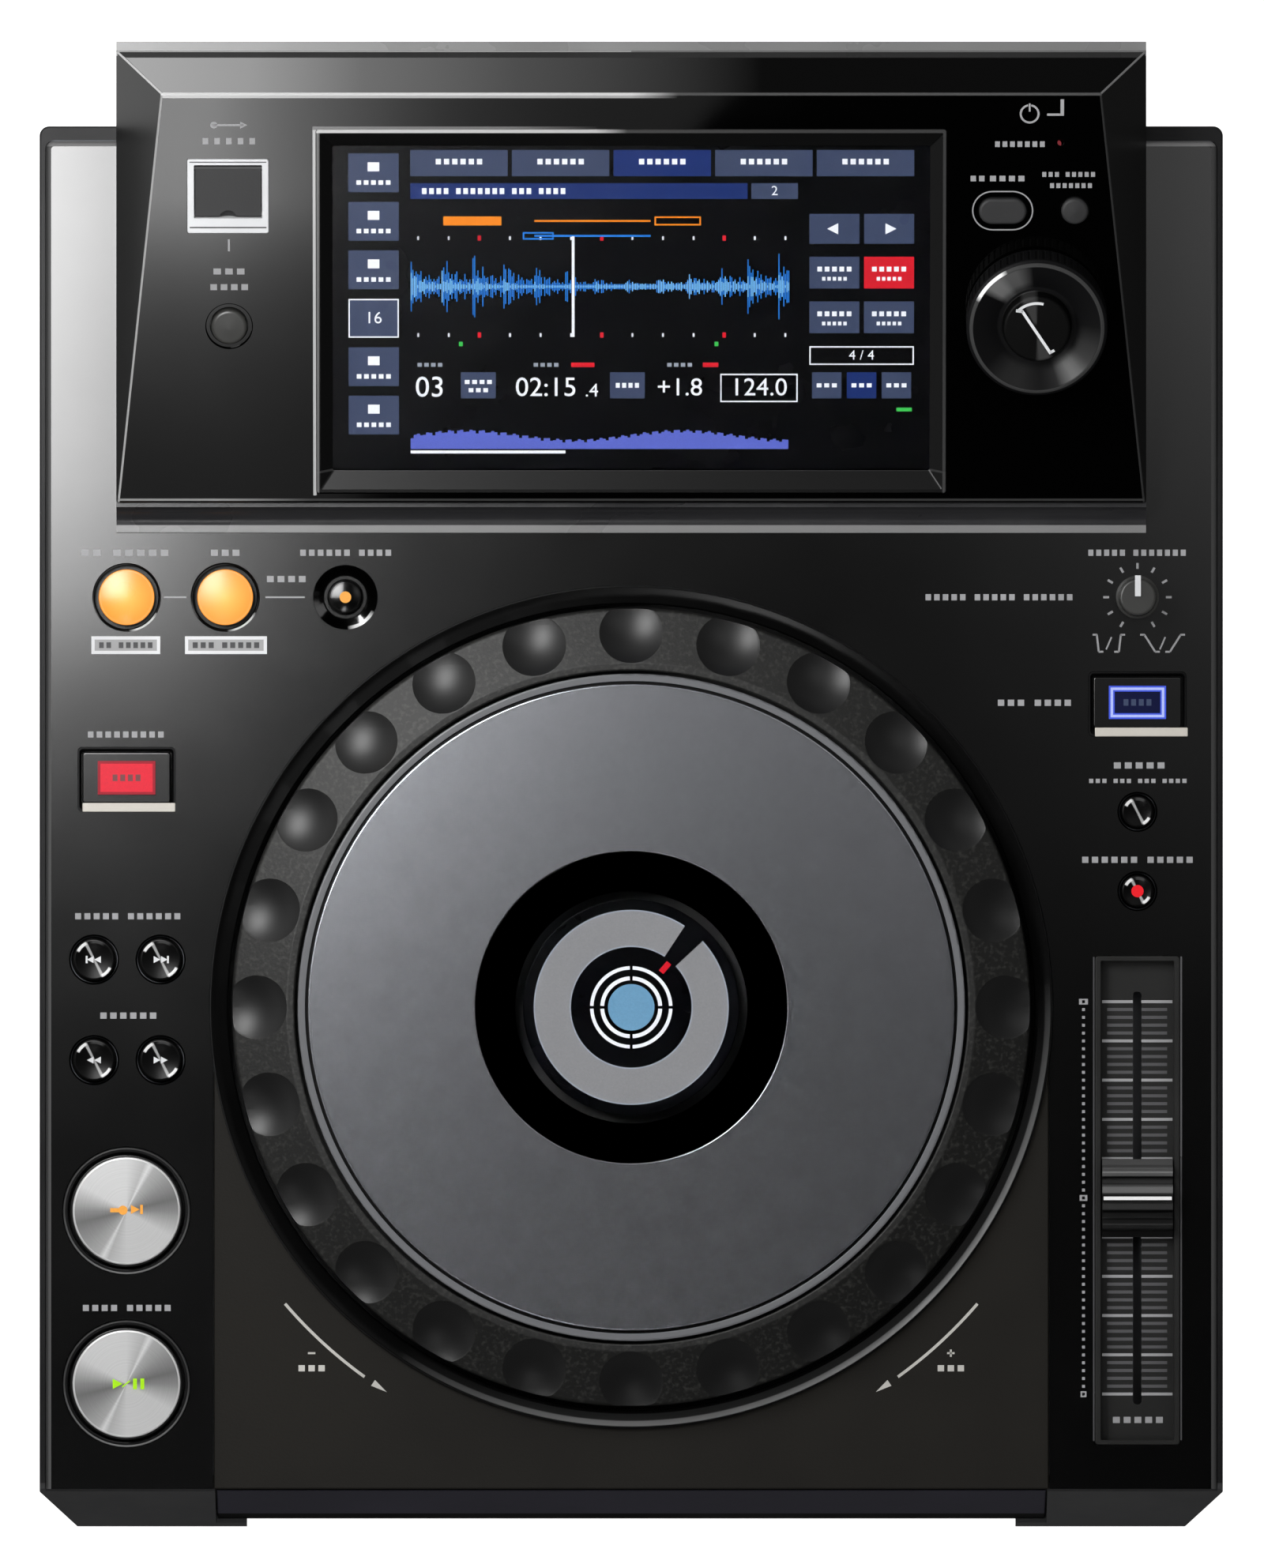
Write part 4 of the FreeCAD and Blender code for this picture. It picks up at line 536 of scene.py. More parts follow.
def streakFinish(name, x, y, capRadius):
    ground = streakReflection["ground"]
    shader, point = plainFinish(name + "Cap", ground, 0.3, 3200, 0.002, spread=0.03, specular=0.12)
    heading = math.radians(streakReflection["heading"])
    along = (math.cos(heading), math.sin(heading), 0)
    polar = around(point, x, y, Right=along, Up=(-along[1], along[0], 0))
    aside = calc("ABSOLUTE", polar["Upward"])
    low, high = streakReflection["half"]
    reach = ramp(polar["Radius"], 0.0, capRadius * mm, low * mm, high * mm)
    onLine = ramp(calc("SUBTRACT", aside, reach), 0.12 * mm, -0.12 * mm)
    onLine = overlap(onLine, below(polar["Radius"], capRadius - 0.6))
    overlay(shader, onLine, streakReflection["line"])
    # the painted hooks of reflection run on along the rim, left of the streak's upper end and right of its lower end
    rim = between(polar["Radius"], (capRadius - 1.15, capRadius - 0.4), 0.1)
    hook = overlap(rim, nearAngle(polar["Azimuth"], 17.0, 16.0, 5.0, 180.0))
    overlay(shader, hook, streakReflection["hook"])
    # a dim painted arc of reflection at the lower right
    dimArc = overlap(rim, nearAngle(polar["Azimuth"], -38.0, 14.0, 12.0))
    overlay(shader, dimArc, streakReflection["dim"])


for name, settings in capStreaks.items():
    streakFinish(name, *settings)

# turned selector: painted reflections: soft bright wedges in its dish, a grey top rim bright at the upper left, and
# two glints on its hub
selector = {
    "at": (104.6, 50.2), "rim": 16.5, "rimHeight": 11.8, "hub": 8.9,
    # each painted wedge of reflection: its middle, half width and softness in degrees, and its grey
    "wedges": ((118, 8, 16, 92), (133, 5, 8, 120), (310, 5, 15, 96), (335, 6, 20, 40), (245, 8, 20, 36)),
}
black = shade(16, 16, 17)
shader, point = plainFinish("selectorBlack", black, 0.45, 3200, 0.004, spread=0.03, specular=0.08)
polar = place(polarPlace, Point=point, Centre=tuple(onFace(*selector["at"])), Up=upFace["Up"])
outsideHub = above(polar["Radius"], selector["hub"] + 1.8, 1.2)
inDish = overlap(outsideHub, below(polar["Radius"], selector["rim"], 0.3))
for middle, half, soft, tone in selector["wedges"]:
    wedge = overlap(inDish, nearAngle(polar["Azimuth"], middle, half, soft))
    overlay(shader, wedge, shade(tone))
# painted highlight: a grey top rim, bright at the upper left
onTop = above(polar["Outward"], selector["rimHeight"])
onRim = overlap(above(polar["Radius"], selector["rim"]), onTop)
overlay(shader, onRim, shade(62))
overlay(shader, overlap(onRim, nearAngle(polar["Azimuth"], 136, 13, 6)), shade(250))
onHub = below(polar["Radius"], selector["hub"] + 0.3)
overlay(shader, onHub, shade(10))
# two painted glints on the hub
for side, middle in ((1.0, 104), (-1.0, 284)):
    patch = overlap(
        onHub, above(calc("MULTIPLY", polar["Upward"], side), 1.5, 0.5),
        nearAngle(polar["Azimuth"], middle, 9, 8),
    )
    overlay(shader, patch, shade(58))

# slider cap: grey bands across its sloping ends, painted light and shade as the slopes catch the lamps, pale toward
# the back and dark toward the front
capLightBands = [
    (-117.5, 16), (-113.8, 16), (-113.6, 34), (-112.4, 34), (-112.2, 16), (-109.9, 18), (-109.7, 46), (-108.3, 46),
    (-108.1, 14), (-105.5, 16), (-105.3, 96), (-103.4, 96), (-103.1, 14), (-101.2, 14), (-101.0, 130), (-100.0, 130),
    (-99.8, 74), (-96.6, 62),
]
shader, point = plainFinish("sliderBlack", shade(20), 0.35, 3200, 0.006)
feed(shader.inputs["Base Color"], greyLevels(axes(point)["Y"], capLightBands, mm))

# touch plate: grey sheet, black print under the window, bright and dark rims
plateLook = {
    "sheet": shade(220, 223, 230), "rim": shade(10), "edge": shade(112, 113, 116), "roughness": 0.25,
}
shader, point = startMaterial("plateGrey", plateLook["roughness"])
polar = around(point, *wheelAt)
addGrain(shader, point, 3500, 0.0012, plateLook["roughness"], spread=0.003, patch=12.0)
sheetMask = ramp(polar["Radius"], 40.35 * mm, 40.40 * mm)
inGroove = calc("COMPARE", polar["Radius"], 83.85 * mm, 0.42 * mm)
isSheet = calc("MULTIPLY", sheetMask, calc("SUBTRACT", 1.0, inGroove))
inside = blendColour(sheetMask, shade(3), plateLook["rim"])
feed(shader.inputs["Base Color"], blendColour(isSheet, inside, plateLook["sheet"]))
isEdge = above(polar["Radius"], 84.3)
overlay(shader, isEdge, plateLook["edge"])
isMetal = overlap(isSheet, calc("SUBTRACT", 1.0, isEdge))
feed(shader.inputs["Metallic"], isMetal)

# wheel ring: mottled plastic, smooth and darker inside the finger dimples
ringLook = {
    "plain": shade(21, 21, 19), "fleck": shade(43, 43, 40), "dimple": shade(22), "rough": 0.55, "smooth": 0.42,
}
dimples = {"count": 24, "middle": 96.8, "radius": 8.0}
shader, point = startMaterial("ringPlastic", ringLook["rough"], 0.42)
polar = around(point, *wheelAt)
reach = polar["Radius"]
spacing = 360 / dimples["count"]
aside = calc("RADIANS", calc("WRAP", polar["Azimuth"], spacing / 2, -spacing / 2))
inward = calc("MULTIPLY", reach, calc("COSINE", aside))
along = calc("SUBTRACT", inward, dimples["middle"] * mm)
across = calc("MULTIPLY", reach, calc("SINE", aside))
squares = [calc("MULTIPLY", part, part) for part in (along, across)]
away = calc("SQRT", calc("ADD", *squares))
isSmooth = ramp(away, (dimples["radius"] + 0.25) * mm, (dimples["radius"] - 0.25) * mm)
flecks = ramp(noiseOf(point, 900.0, 1.0), 0.5, 0.75)
mottled = blendColour(flecks, ringLook["plain"], ringLook["fleck"])
feed(shader.inputs["Base Color"], blendColour(isSmooth, mottled, ringLook["dimple"]))
grain = place(surfaceGrain, Point=point, Fineness=1400.0)
roughness = ramp(isSmooth, 0.0, 1.0, ringLook["rough"], ringLook["smooth"])
feed(shader.inputs["Roughness"], roughness)
shareOfGrain = ramp(isSmooth, 0.0, 1.0, 1.0, 0.08)
addBump(shader, calc("MULTIPLY", grain["Height"], shareOfGrain), 0.05)

# amber caps: bright in the middle, deeper at the rim, black collar outside
ambers = {"loopInAmber": (-130.5, 48.6), "loopOutAmber": (-105.0, 48.6)}
amberLook = {"middle": shade(255, 205, 92), "rim": shade(238, 150, 56), "capRadius": 7.2}
for name, centre in ambers.items():
    shader, point = startMaterial(name, 0.30)
    addGrain(shader, point, 2600, 0.006, 0.30)
    polar = around(point, *centre)
    outwards = ramp(polar["Radius"], 0, amberLook["capRadius"] * mm)
    glow = blendColour(outwards, amberLook["middle"], amberLook["rim"])
    isCap = below(polar["Radius"], amberLook["capRadius"])
    colour = blendColour(isCap, shade(4), lighter(amberLook["rim"], 0.5))
    feed(shader.inputs["Base Color"], colour)
    feed(shader.inputs["Emission Color"], blendColour(isCap, shade(0), glow))
    shader.inputs["Emission Strength"].default_value = 0.75

# circuit boards: green mask with copper pads and tracks
shader, point = startMaterial("boardGreen", 0.35)
addGrain(shader, point, 2500, 0.01, 0.35)
pads = point.id_data.nodes.new("ShaderNodeTexVoronoi")
pads.inputs["Scale"].default_value = 260.0
feed(pads.inputs["Vector"], point)
isPad = ramp(pads.outputs["Distance"], 0.22, 0.18)
green = blendColour(noiseOf(point, 120.0), shade(10, 66, 34), shade(26, 104, 56))
feed(shader.inputs["Base Color"], blendColour(isPad, green, shade(196, 178, 120)))

# clear covers, coated against glare, so they bend and mirror little
for name, roughness in (("touchGlass", 0.03), ("wheelGlass", 0.05)):
    shader, point = startMaterial(name, roughness)
    addGrain(shader, point, 200, 0.0001, roughness, spread=0.004)
    shader.inputs["Base Color"].default_value = (0.95, 0.96, 0.97, 1)
    shader.inputs["Transmission Weight"].default_value = 1.0
    shader.inputs["IOR"].default_value = 1.1

print("finishes made:", len(finishes))

wearers = {
    "caseBlack": "lower_case", "beltBlack": "upper_case", "chassisGrey": "deck_chassis", "deckSatin": "top_panel",
    "centreOlive": "centre_panel", "jogGloss": "jog_bezel", "frontSlate": "front_plate", "rearPaint": "rear_plate",
    "rubberBlack": "feet", "frameBlack": "button_frames", "screwSteel": "case_screws",
    "plinthBlack": "display_plinth", "coverGloss": "display_cover", "bezelGloss": "screen_bezel",
    "touchGlass": "touch_glass", "lcdBlack": "lcd_panel jog_display", "printPale": "usb_frame",
    "capRubber": "usb_lid back_button tag_button", "wheelBlack": "jog_base jog_hub", "ringPlastic": "jog_ring",
    "steelPlain": "usb_socket jog_slit_disc rotary_bodies fader_body data_ports",
    "brassTurned": "jog_bearing signal_jacks", "creamPlastic": "jog_touch_sheet browse_rotor tact_switches",
    "plateGrey": "jog_plate", "wheelGlass": "jog_window", "capBlack": "jog_sensor ac_inlet power_button",
    "knobGrey": "usb_stop_button speed_knob", "selectorBlack": "browse_knob", "sliderBlack": "fader_cap",
    "trayBlack": "fader_tray", "boardGreen": "control_boards main_board power_board",
    "loopInAmber": "loop_in_button", "loopOutAmber": "loop_out_button", "capDeep": "reloop_button",
    "cueDisc": "cue_button", "playDisc": "play_button", "keyRubber": "direction_button jog_mode_button",
}
wearers.update({name + "Cap": name for name in capStreaks})
for finish, names in wearers.items():
    for name in names.split():
        for skin in nodes[name].material_slots:
            skin.material = finishes[finish]


# modelling helpers: everything is drawn flat at the origin in mm, then given thickness and moved

def pick(*pieces):
    for item in bpy.context.selected_objects:
        item.select_set(False)
    for piece in pieces:
        piece.select_set(True)
    bpy.context.view_layer.objects.active = pieces[0]


def bar(x, y, width, height, turn=0.0):
    where, turned = (x * mm, y * mm, 0), (0, 0, math.radians(turn))
    bpy.ops.mesh.primitive_plane_add(size=1, location=where, rotation=turned)
    piece = bpy.context.object
    piece.scale = (width * mm, height * mm, 1)
    return piece


def line(start, end, width):
    middle = ((start[0] + end[0]) / 2, (start[1] + end[1]) / 2)
    length = math.dist(start, end)
    return bar(*middle, length, width, math.degrees(math.atan2(end[1] - start[1], end[0] - start[0])))


def spot(x, y, radius, corners=24, turn=0.0):
    bpy.ops.mesh.primitive_circle_add(
        vertices=corners, radius=radius * mm, fill_type="NGON", location=(x * mm, y * mm, 0),
        rotation=(0, 0, math.radians(turn)),
    )
    return bpy.context.object


def arrowHead(x, y, size, turn):
    # a triangle pointing along its turn, 0 being to the right
    piece = spot(x, y, size, 3, turn - 90)
    piece.scale = (0.9, 1, 1)
    return piece


def repeat(piece, count, x=0.0, y=0.0):
    pick(piece)
    bpy.ops.object.transform_apply(location=True, rotation=True, scale=True)
    row = piece.modifiers.new("row", "ARRAY")
    row.count = count
    row.use_relative_offset = False
    row.use_constant_offset = True
    row.constant_offset_displace = (x * mm, y * mm, 0)
    bpy.ops.object.modifier_apply(modifier="row")
    return piece


def outline(x, y, width, height, thin):
    # four bars that meet at the corners
    return [
        bar(x, y + (height - thin) / 2, width, thin),
        bar(x, y - (height - thin) / 2, width, thin),
        bar(x - (width - thin) / 2, y, thin, height - 2 * thin),
        bar(x + (width - thin) / 2, y, thin, height - 2 * thin),
    ]


def ringBand(inner, outer, at=(0, 0), start=0.0, sweep=360.0, steps=64):
    # a flat ring, or part of one: a line between two radii, spun about the upright axis through at
    bpy.ops.mesh.primitive_plane_add(size=1)
    piece = bpy.context.object
    mesh = piece.data
    for vertex, radius in zip(mesh.vertices, (inner, outer)):
        vertex.co = (radius * mm, 0, 0)
    for index, vertex in enumerate(mesh.vertices):
        vertex.select = index > 1
    for part in (*mesh.edges, *mesh.polygons):
        part.select = False
    bpy.context.tool_settings.mesh_select_mode = (True, False, False)
    bpy.ops.object.mode_set(mode="EDIT")
    bpy.ops.mesh.delete(type="VERT")
    bpy.ops.mesh.select_all(action="SELECT")
    bpy.ops.transform.rotate(value=-math.radians(start), orient_axis="Z", center_override=(0, 0, 0))
    bpy.ops.mesh.spin(steps=steps, angle=-math.radians(sweep), center=(0, 0, 0), axis=(0, 0, 1))
    bpy.ops.mesh.select_all(action="SELECT")
    bpy.ops.mesh.remove_doubles(threshold=0.000002)
    bpy.ops.object.mode_set(mode="OBJECT")
    piece.location = (at[0] * mm, at[1] * mm, 0)
    return piece


def figures(text, x, y, height):
    # plain numbers in the built-in face, as a flat mesh
    bpy.ops.object.text_add(location=(x * mm, y * mm, 0))
    piece = bpy.context.object
    piece.data.body = text
    piece.data.size = height * mm / 0.72
    piece.data.align_x = "CENTER"
    piece.data.align_y = "CENTER"
    piece.data.resolution_u = 4
    pick(piece)
    bpy.ops.object.convert(target="MESH")
    return bpy.context.object


def blockMarks(left, right, y, height, words, gap=0.36):
    # stands in for a caption: a row of small plain blocks, the gap being a share of each
    share = (right - left) / (sum(words) + 0.7 * (len(words) - 1) - gap)
    pieces = []
    cursor = left - gap * share / 2
    for count in words:
        pieces.append(repeat(bar(cursor + share / 2, y, share * (1 - gap), height), count, share))
        cursor += share * (count + 0.7)
    return pieces


def joined(name, pieces):
    pick(*pieces)
    if len(pieces) > 1:
        bpy.ops.object.join()
    whole = bpy.context.object
    whole.name = name
    bpy.ops.object.transform_apply(location=True, rotation=True, scale=True)
    return whole


def faceUp(whole):
    # turns over every face that looks down
    for face in whole.data.polygons:
        face.select = face.normal.z < 0
    bpy.context.tool_settings.mesh_select_mode = (False, False, True)
    bpy.ops.object.mode_set(mode="EDIT")
    bpy.ops.mesh.flip_normals()
    bpy.ops.object.mode_set(mode="OBJECT")


def settle(whole, surface, low, finish, body):
    # moves flat work onto its surface and hands it to its body
    whole.matrix_world = surface @ atHeight(low)
    bpy.ops.object.transform_apply(location=True, rotation=True, scale=True)
    whole.data.materials.clear()
    whole.data.materials.append(finishes[finish])
    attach(whole, body)


def lay(name, pieces, surface, finish, body="base", low=-0.02, thick=0.06):
    whole = joined(name, pieces)
    faceUp(whole)
    skin = whole.modifiers.new("skin", "SOLIDIFY")
    skin.thickness = thick * mm
    skin.offset = 1
    bpy.ops.object.modifier_apply(modifier="skin")
    settle(whole, surface, low, finish, body)


# marks printed on the deck; each caption is given by its left and right x, its y, the height of its blocks and
# how many of them each word has
deckCaptions = [
    (-142.2, -119.7, 60.1, 1.6, (2, 5)), (-108.7, -101.3, 60.1, 1.6, (3,)), (-85.6, -62.1, 60.1, 1.6, (6, 4)),
    (-94.2, -84.2, 53.3, 1.6, (4,)), (-140.5, -120.9, 13.1, 1.6, (9,)), (-143.8, -116.6, -33.9, 1.6, (5, 6)),
    (-137.3, -122.8, -59.6, 1.6, (6,)), (-141.8, -119.1, -135.2, 1.6, (4, 5)), (118.2, 143.4, 60.1, 1.6, (5, 7)),
    (76.1, 114.1, 48.6, 1.6, (5, 5, 6)), (94.8, 113.7, 21.3, 1.6, (3, 4)), (124.8, 137.9, 5.1, 1.6, (5,)),
    (116.6, 145.2, -19.3, 1.6, (6, 5)), (118.4, 143.6, 1.1, 1.1, (3, 3, 3, 4)),
]
deckMarks = {"lineWidth": 0.45, "tickLength": 1.5, "tickRadius": 8.1, "dotX": 116.95}
speedAt = (130.9, 48.6)
faderLines = {
    "top": -56.0, "pitch": 2.03, "count": 51, "slot": (129.75, 131.95),
    # outer ends, first steps, thickness and number of repeats
    "long": ((121.8, 140.0), (0,), 0.75, 11), "short": ((123.1, 138.6), (1, 2, 3, 4), 0.8, 10),
}
# signs of a quick and a slow run-down under the knob, each mirrored about its middle
runDowns = {"top": 38.9, "foot": 34.5, "signs": ((119.3, 8.4, 0.5), (131.6, 11.6, 2.8))}


def captionRows(rows):
    pieces = []
    for row in rows:
        pieces += blockMarks(*row)
    return pieces


def makeDeckPrints():
    grey = captionRows(deckCaptions)
    for left, right in ((-120.9, -115.0), (-94.6, -84.4)):
        grey.append(line((left, 48.6), (right, 48.6), deckMarks["lineWidth"]))
    for step in range(11):
        turn = math.radians(-60 + 30 * step)
        radius = deckMarks["tickRadius"]
        x, y = speedAt[0] + radius * math.cos(turn), speedAt[1] + radius * math.sin(turn)
        grey.append(bar(x, y, deckMarks["tickLength"], 0.6, math.degrees(turn)))
    top, foot = runDowns["top"], runDowns["foot"]
    for left, span, run in runDowns["signs"]:
        strokes = (0, top, 1.2, top), (1.1, top, 1.1 + run, foot), (1.1 + run, foot, 2.3 + run, foot)
        for end, way in ((left, 1), (left + span, -1)):
            for start, high, stop, low in strokes:
                grey.append(line((end + start * way, high), (end + stop * way, low), 0.5))
        middle = left + span / 2
        grey.append(line((middle - 0.7, foot + 0.6), (middle + 0.7, top - 0.6), 0.4))
    count, pitch, top = faderLines["count"], faderLines["pitch"], faderLines["top"]
    grey.append(repeat(bar(deckMarks["dotX"], top, 0.75, 0.75), count, 0, -pitch))
    for step, wide in ((0, 2.3), (25, 2.0), (50, 1.5)):
        grey.append(bar(deckMarks["dotX"], top - pitch * step, wide, 1.5))
    lay("deck_marks", grey, deckPlace, "printGrey")

    borders, plates, darks = [], [], []
    for left, right, words in ((-139.6, -121.8, (2, 5)), (-115.4, -94.2, (3, 5))):
        middle, width = (left + right) / 2, right - left
        borders += outline(middle, 36.2, width, 4.6, 0.85)
        plates.append(bar(middle, 36.2, width - 1.6, 3.0))
        darks += blockMarks(left + 2.0, right - 2.0, 36.2, 1.5, words)
    lay("deck_boxes", borders, deckPlace, "printPale")
    lay("deck_box_fills", plates, deckPlace, "printMid", thick=0.05)
    lay("deck_box_marks", darks, deckPlace, "printShade", low=0.01, thick=0.06)


def makeTrayPrints():
    pitch, top = faderLines["pitch"], faderLines["top"]
    for kind, finish in (("long", "printGrey"), ("short", "printDark")):
        ends, steps, thickness, count = faderLines[kind]
        rows = []
        for outer, inner in zip(ends, faderLines["slot"]):
            for step in steps:
                first = bar((outer + inner) / 2, top - step * pitch, abs(outer - inner), thickness)
                rows.append(repeat(first, count, 0, -5 * pitch))
        lay("fader_" + kind + "_lines", rows, trayPlace, finish)
    lay("tray_caption", blockMarks(124.6, 137.5, -164.2, 1.6, (5,)), trayPlace, "printGrey")
    # painted highlights on the right edge of the tray, brightest above the cap, and the fainter left one
    lay("tray_edge_highlight_upper", [bar(142.2, -70.2, 0.45, 51.8)], deckPlace, "printDark", thick=0.05)
    lower = [bar(142.2, -132.8, 0.4, 73.2), bar(119.6, -107.0, 0.4, 125.2)]
    lay("tray_edge_highlight_lower", lower, deckPlace, "printShade", thick=0.05)


def makeCentrePrints():
    pale = []
    radius, width = 117.9, 0.75
    for side, start, end in ((-1, 220.6, 236.2), (1, 305.8, 303.8)):
        pale.append(ringBand(radius - width / 2, radius + width / 2, wheelAt, start, 13.6, 12))
        # the lower end runs out into a long arrow head
        turn = math.radians(end)
        x, y = wheelAt[0] + radius * math.cos(turn), wheelAt[1] + radius * math.sin(turn)
        pale.append(arrowHead(x, y, 1.9, math.degrees(turn) - 90 * side))
        pale[-1].scale = (0.55, 1.5, 1)
        pale += blockMarks(side * 82.65 - 3.4, side * 82.65 + 3.4, -150.8, 1.6, (3,))
        pale.append(bar(side * 82.65, -146.9, 1.9, 0.5))
    pale.append(bar(82.65, -146.9, 0.5, 1.9))
    lay("centre_marks", pale, centrePlace, "printSoft")


faceCaptions = [
    (-110.5, -97.0, 97.0, 1.7, (1, 1, 1, 1, 1), 0.2), (-107.8, -99.8, 62.1, 1.6, (3,)),
    (-108.6, -98.9, 57.9, 1.6, (4,)), (93.8, 106.6, 96.2, 1.5, (7,)), (87.5, 91.1, 87.0, 1.5, (2,)),
    (92.5, 101.4, 87.0, 1.5, (4,)), (106.0, 119.6, 88.1, 1.3, (3, 5)), (108.0, 118.8, 85.1, 1.3, (7,)),
]


def makeFacePrints():
    grey = captionRows(faceCaptions)
    # port symbol, and the line down from the slot
    grey += [bar(-104.0, 101.3, 8.0, 0.5), spot(-107.6, 101.3, 0.9), arrowHead(-100.2, 101.3, 1.2, 0)]
    grey.append(bar(-103.8, 69.1, 0.5, 3.2))
    # power mark with its lead line
    grey += [ringBand(2.05, 2.57, (102.7, 104.3), 100, 340, 24), bar(102.7, 106.0, 0.45, 2.2)]
    grey += [line((107.2, 104.1), (110.8, 104.1), 0.6), bar(111.1, 106.0, 0.9, 4.4)]
    # pill round the back button
    grey += [bar(95.8, 78.4 + 5.13 * side, 5.3, 0.35) for side in (-1, 1)]
    grey += [ringBand(4.95, 5.3, (95.8 + 2.6 * side, 78.4), -90 * side, 180, 18) for side in (-1, 1)]
    groove = [bar(-104.0, 74.0, 19.8, 0.35), bar(-104.0, 91.5, 19.8, 0.25)]
    lay("port_frame_groove", groove, facePlace, "printShade", low=0.47)
    lay("face_marks", grey, facePlace, "printGrey")
    lamp = [spot(110.1, 96.2, 0.78)]
    lay("standby_lamp", lamp, facePlace, "lampDim", low=-0.9, thick=0.8)


# the picture on the screen: panels, captions, wave and readouts of a made-up layout
column = {"x": -66.5, "width": 13.0, "top": 87.5, "pitch": 13.0, "rows": 6, "height": 10.4}
tabs = {"count": 5, "left": -57.0, "right": 73.0, "low": 86.6, "high": 93.6, "gap": 1.1}
wave = {"left": -57.0, "right": 41.0, "middle": 57.0, "height": 11.0, "pitch": 0.42, "playhead": -15.0, "beat": 7.9}
overview = {"left": -57.0, "right": 41.0, "foot": 13.4, "height": 5.2, "pitch": 0.8}
tiles = {"left": 46.0, "right": 73.0}


def waveLevel(step, seed):
    # beats with a decaying tail, roughened by a few unrelated waves
    beat = (step * wave["pitch"] / wave["beat"]) % 1.0
    swell = 0.62 + 0.38 * math.sin(step * 0.031 + seed)
    rough = 0.55 + 0.25 * math.sin(step * 2.31 + seed) + 0.20 * math.sin(step * 5.17 + 2 * seed)
    return max(0.06, swell * rough * (0.25 + 0.75 * math.exp(-3.2 * beat)))


def columns(left, right, pitch, width, levels, foot, scale, mirrored):
    # one strip of thin columns, each pulled to its own height
    count = int((right - left) / pitch)
    strip = repeat(bar(left + pitch / 2, foot, width, 1.0), count, pitch)
    for index, vertex in enumerate(strip.data.vertices):
        level = levels(index // 4) * scale
        above = vertex.co.y > foot * mm
        vertex.co.y = (foot + (level if above else (-level if mirrored else 0.0))) * mm
    return strip


# captions of the readouts, as for the deck, and the plain numbers: text, place and height
readoutCaptions = [(-43.0, -36.0, 31.4, 1.1, (4,)), (-42.0, -37.0, 29.2, 1.1, (3,)), (-4.0, 2.0, 30.5, 1.3, (4,))]
readouts = [
    ("03", -52.0, 29.8, 5.6), ("02:15", -22.0, 29.8, 5.2), (".4", -10.2, 29.0, 3.6), ("+1.8", 12.5, 29.8, 4.8),
    ("124.0", 33.0, 29.8, 4.8),
]


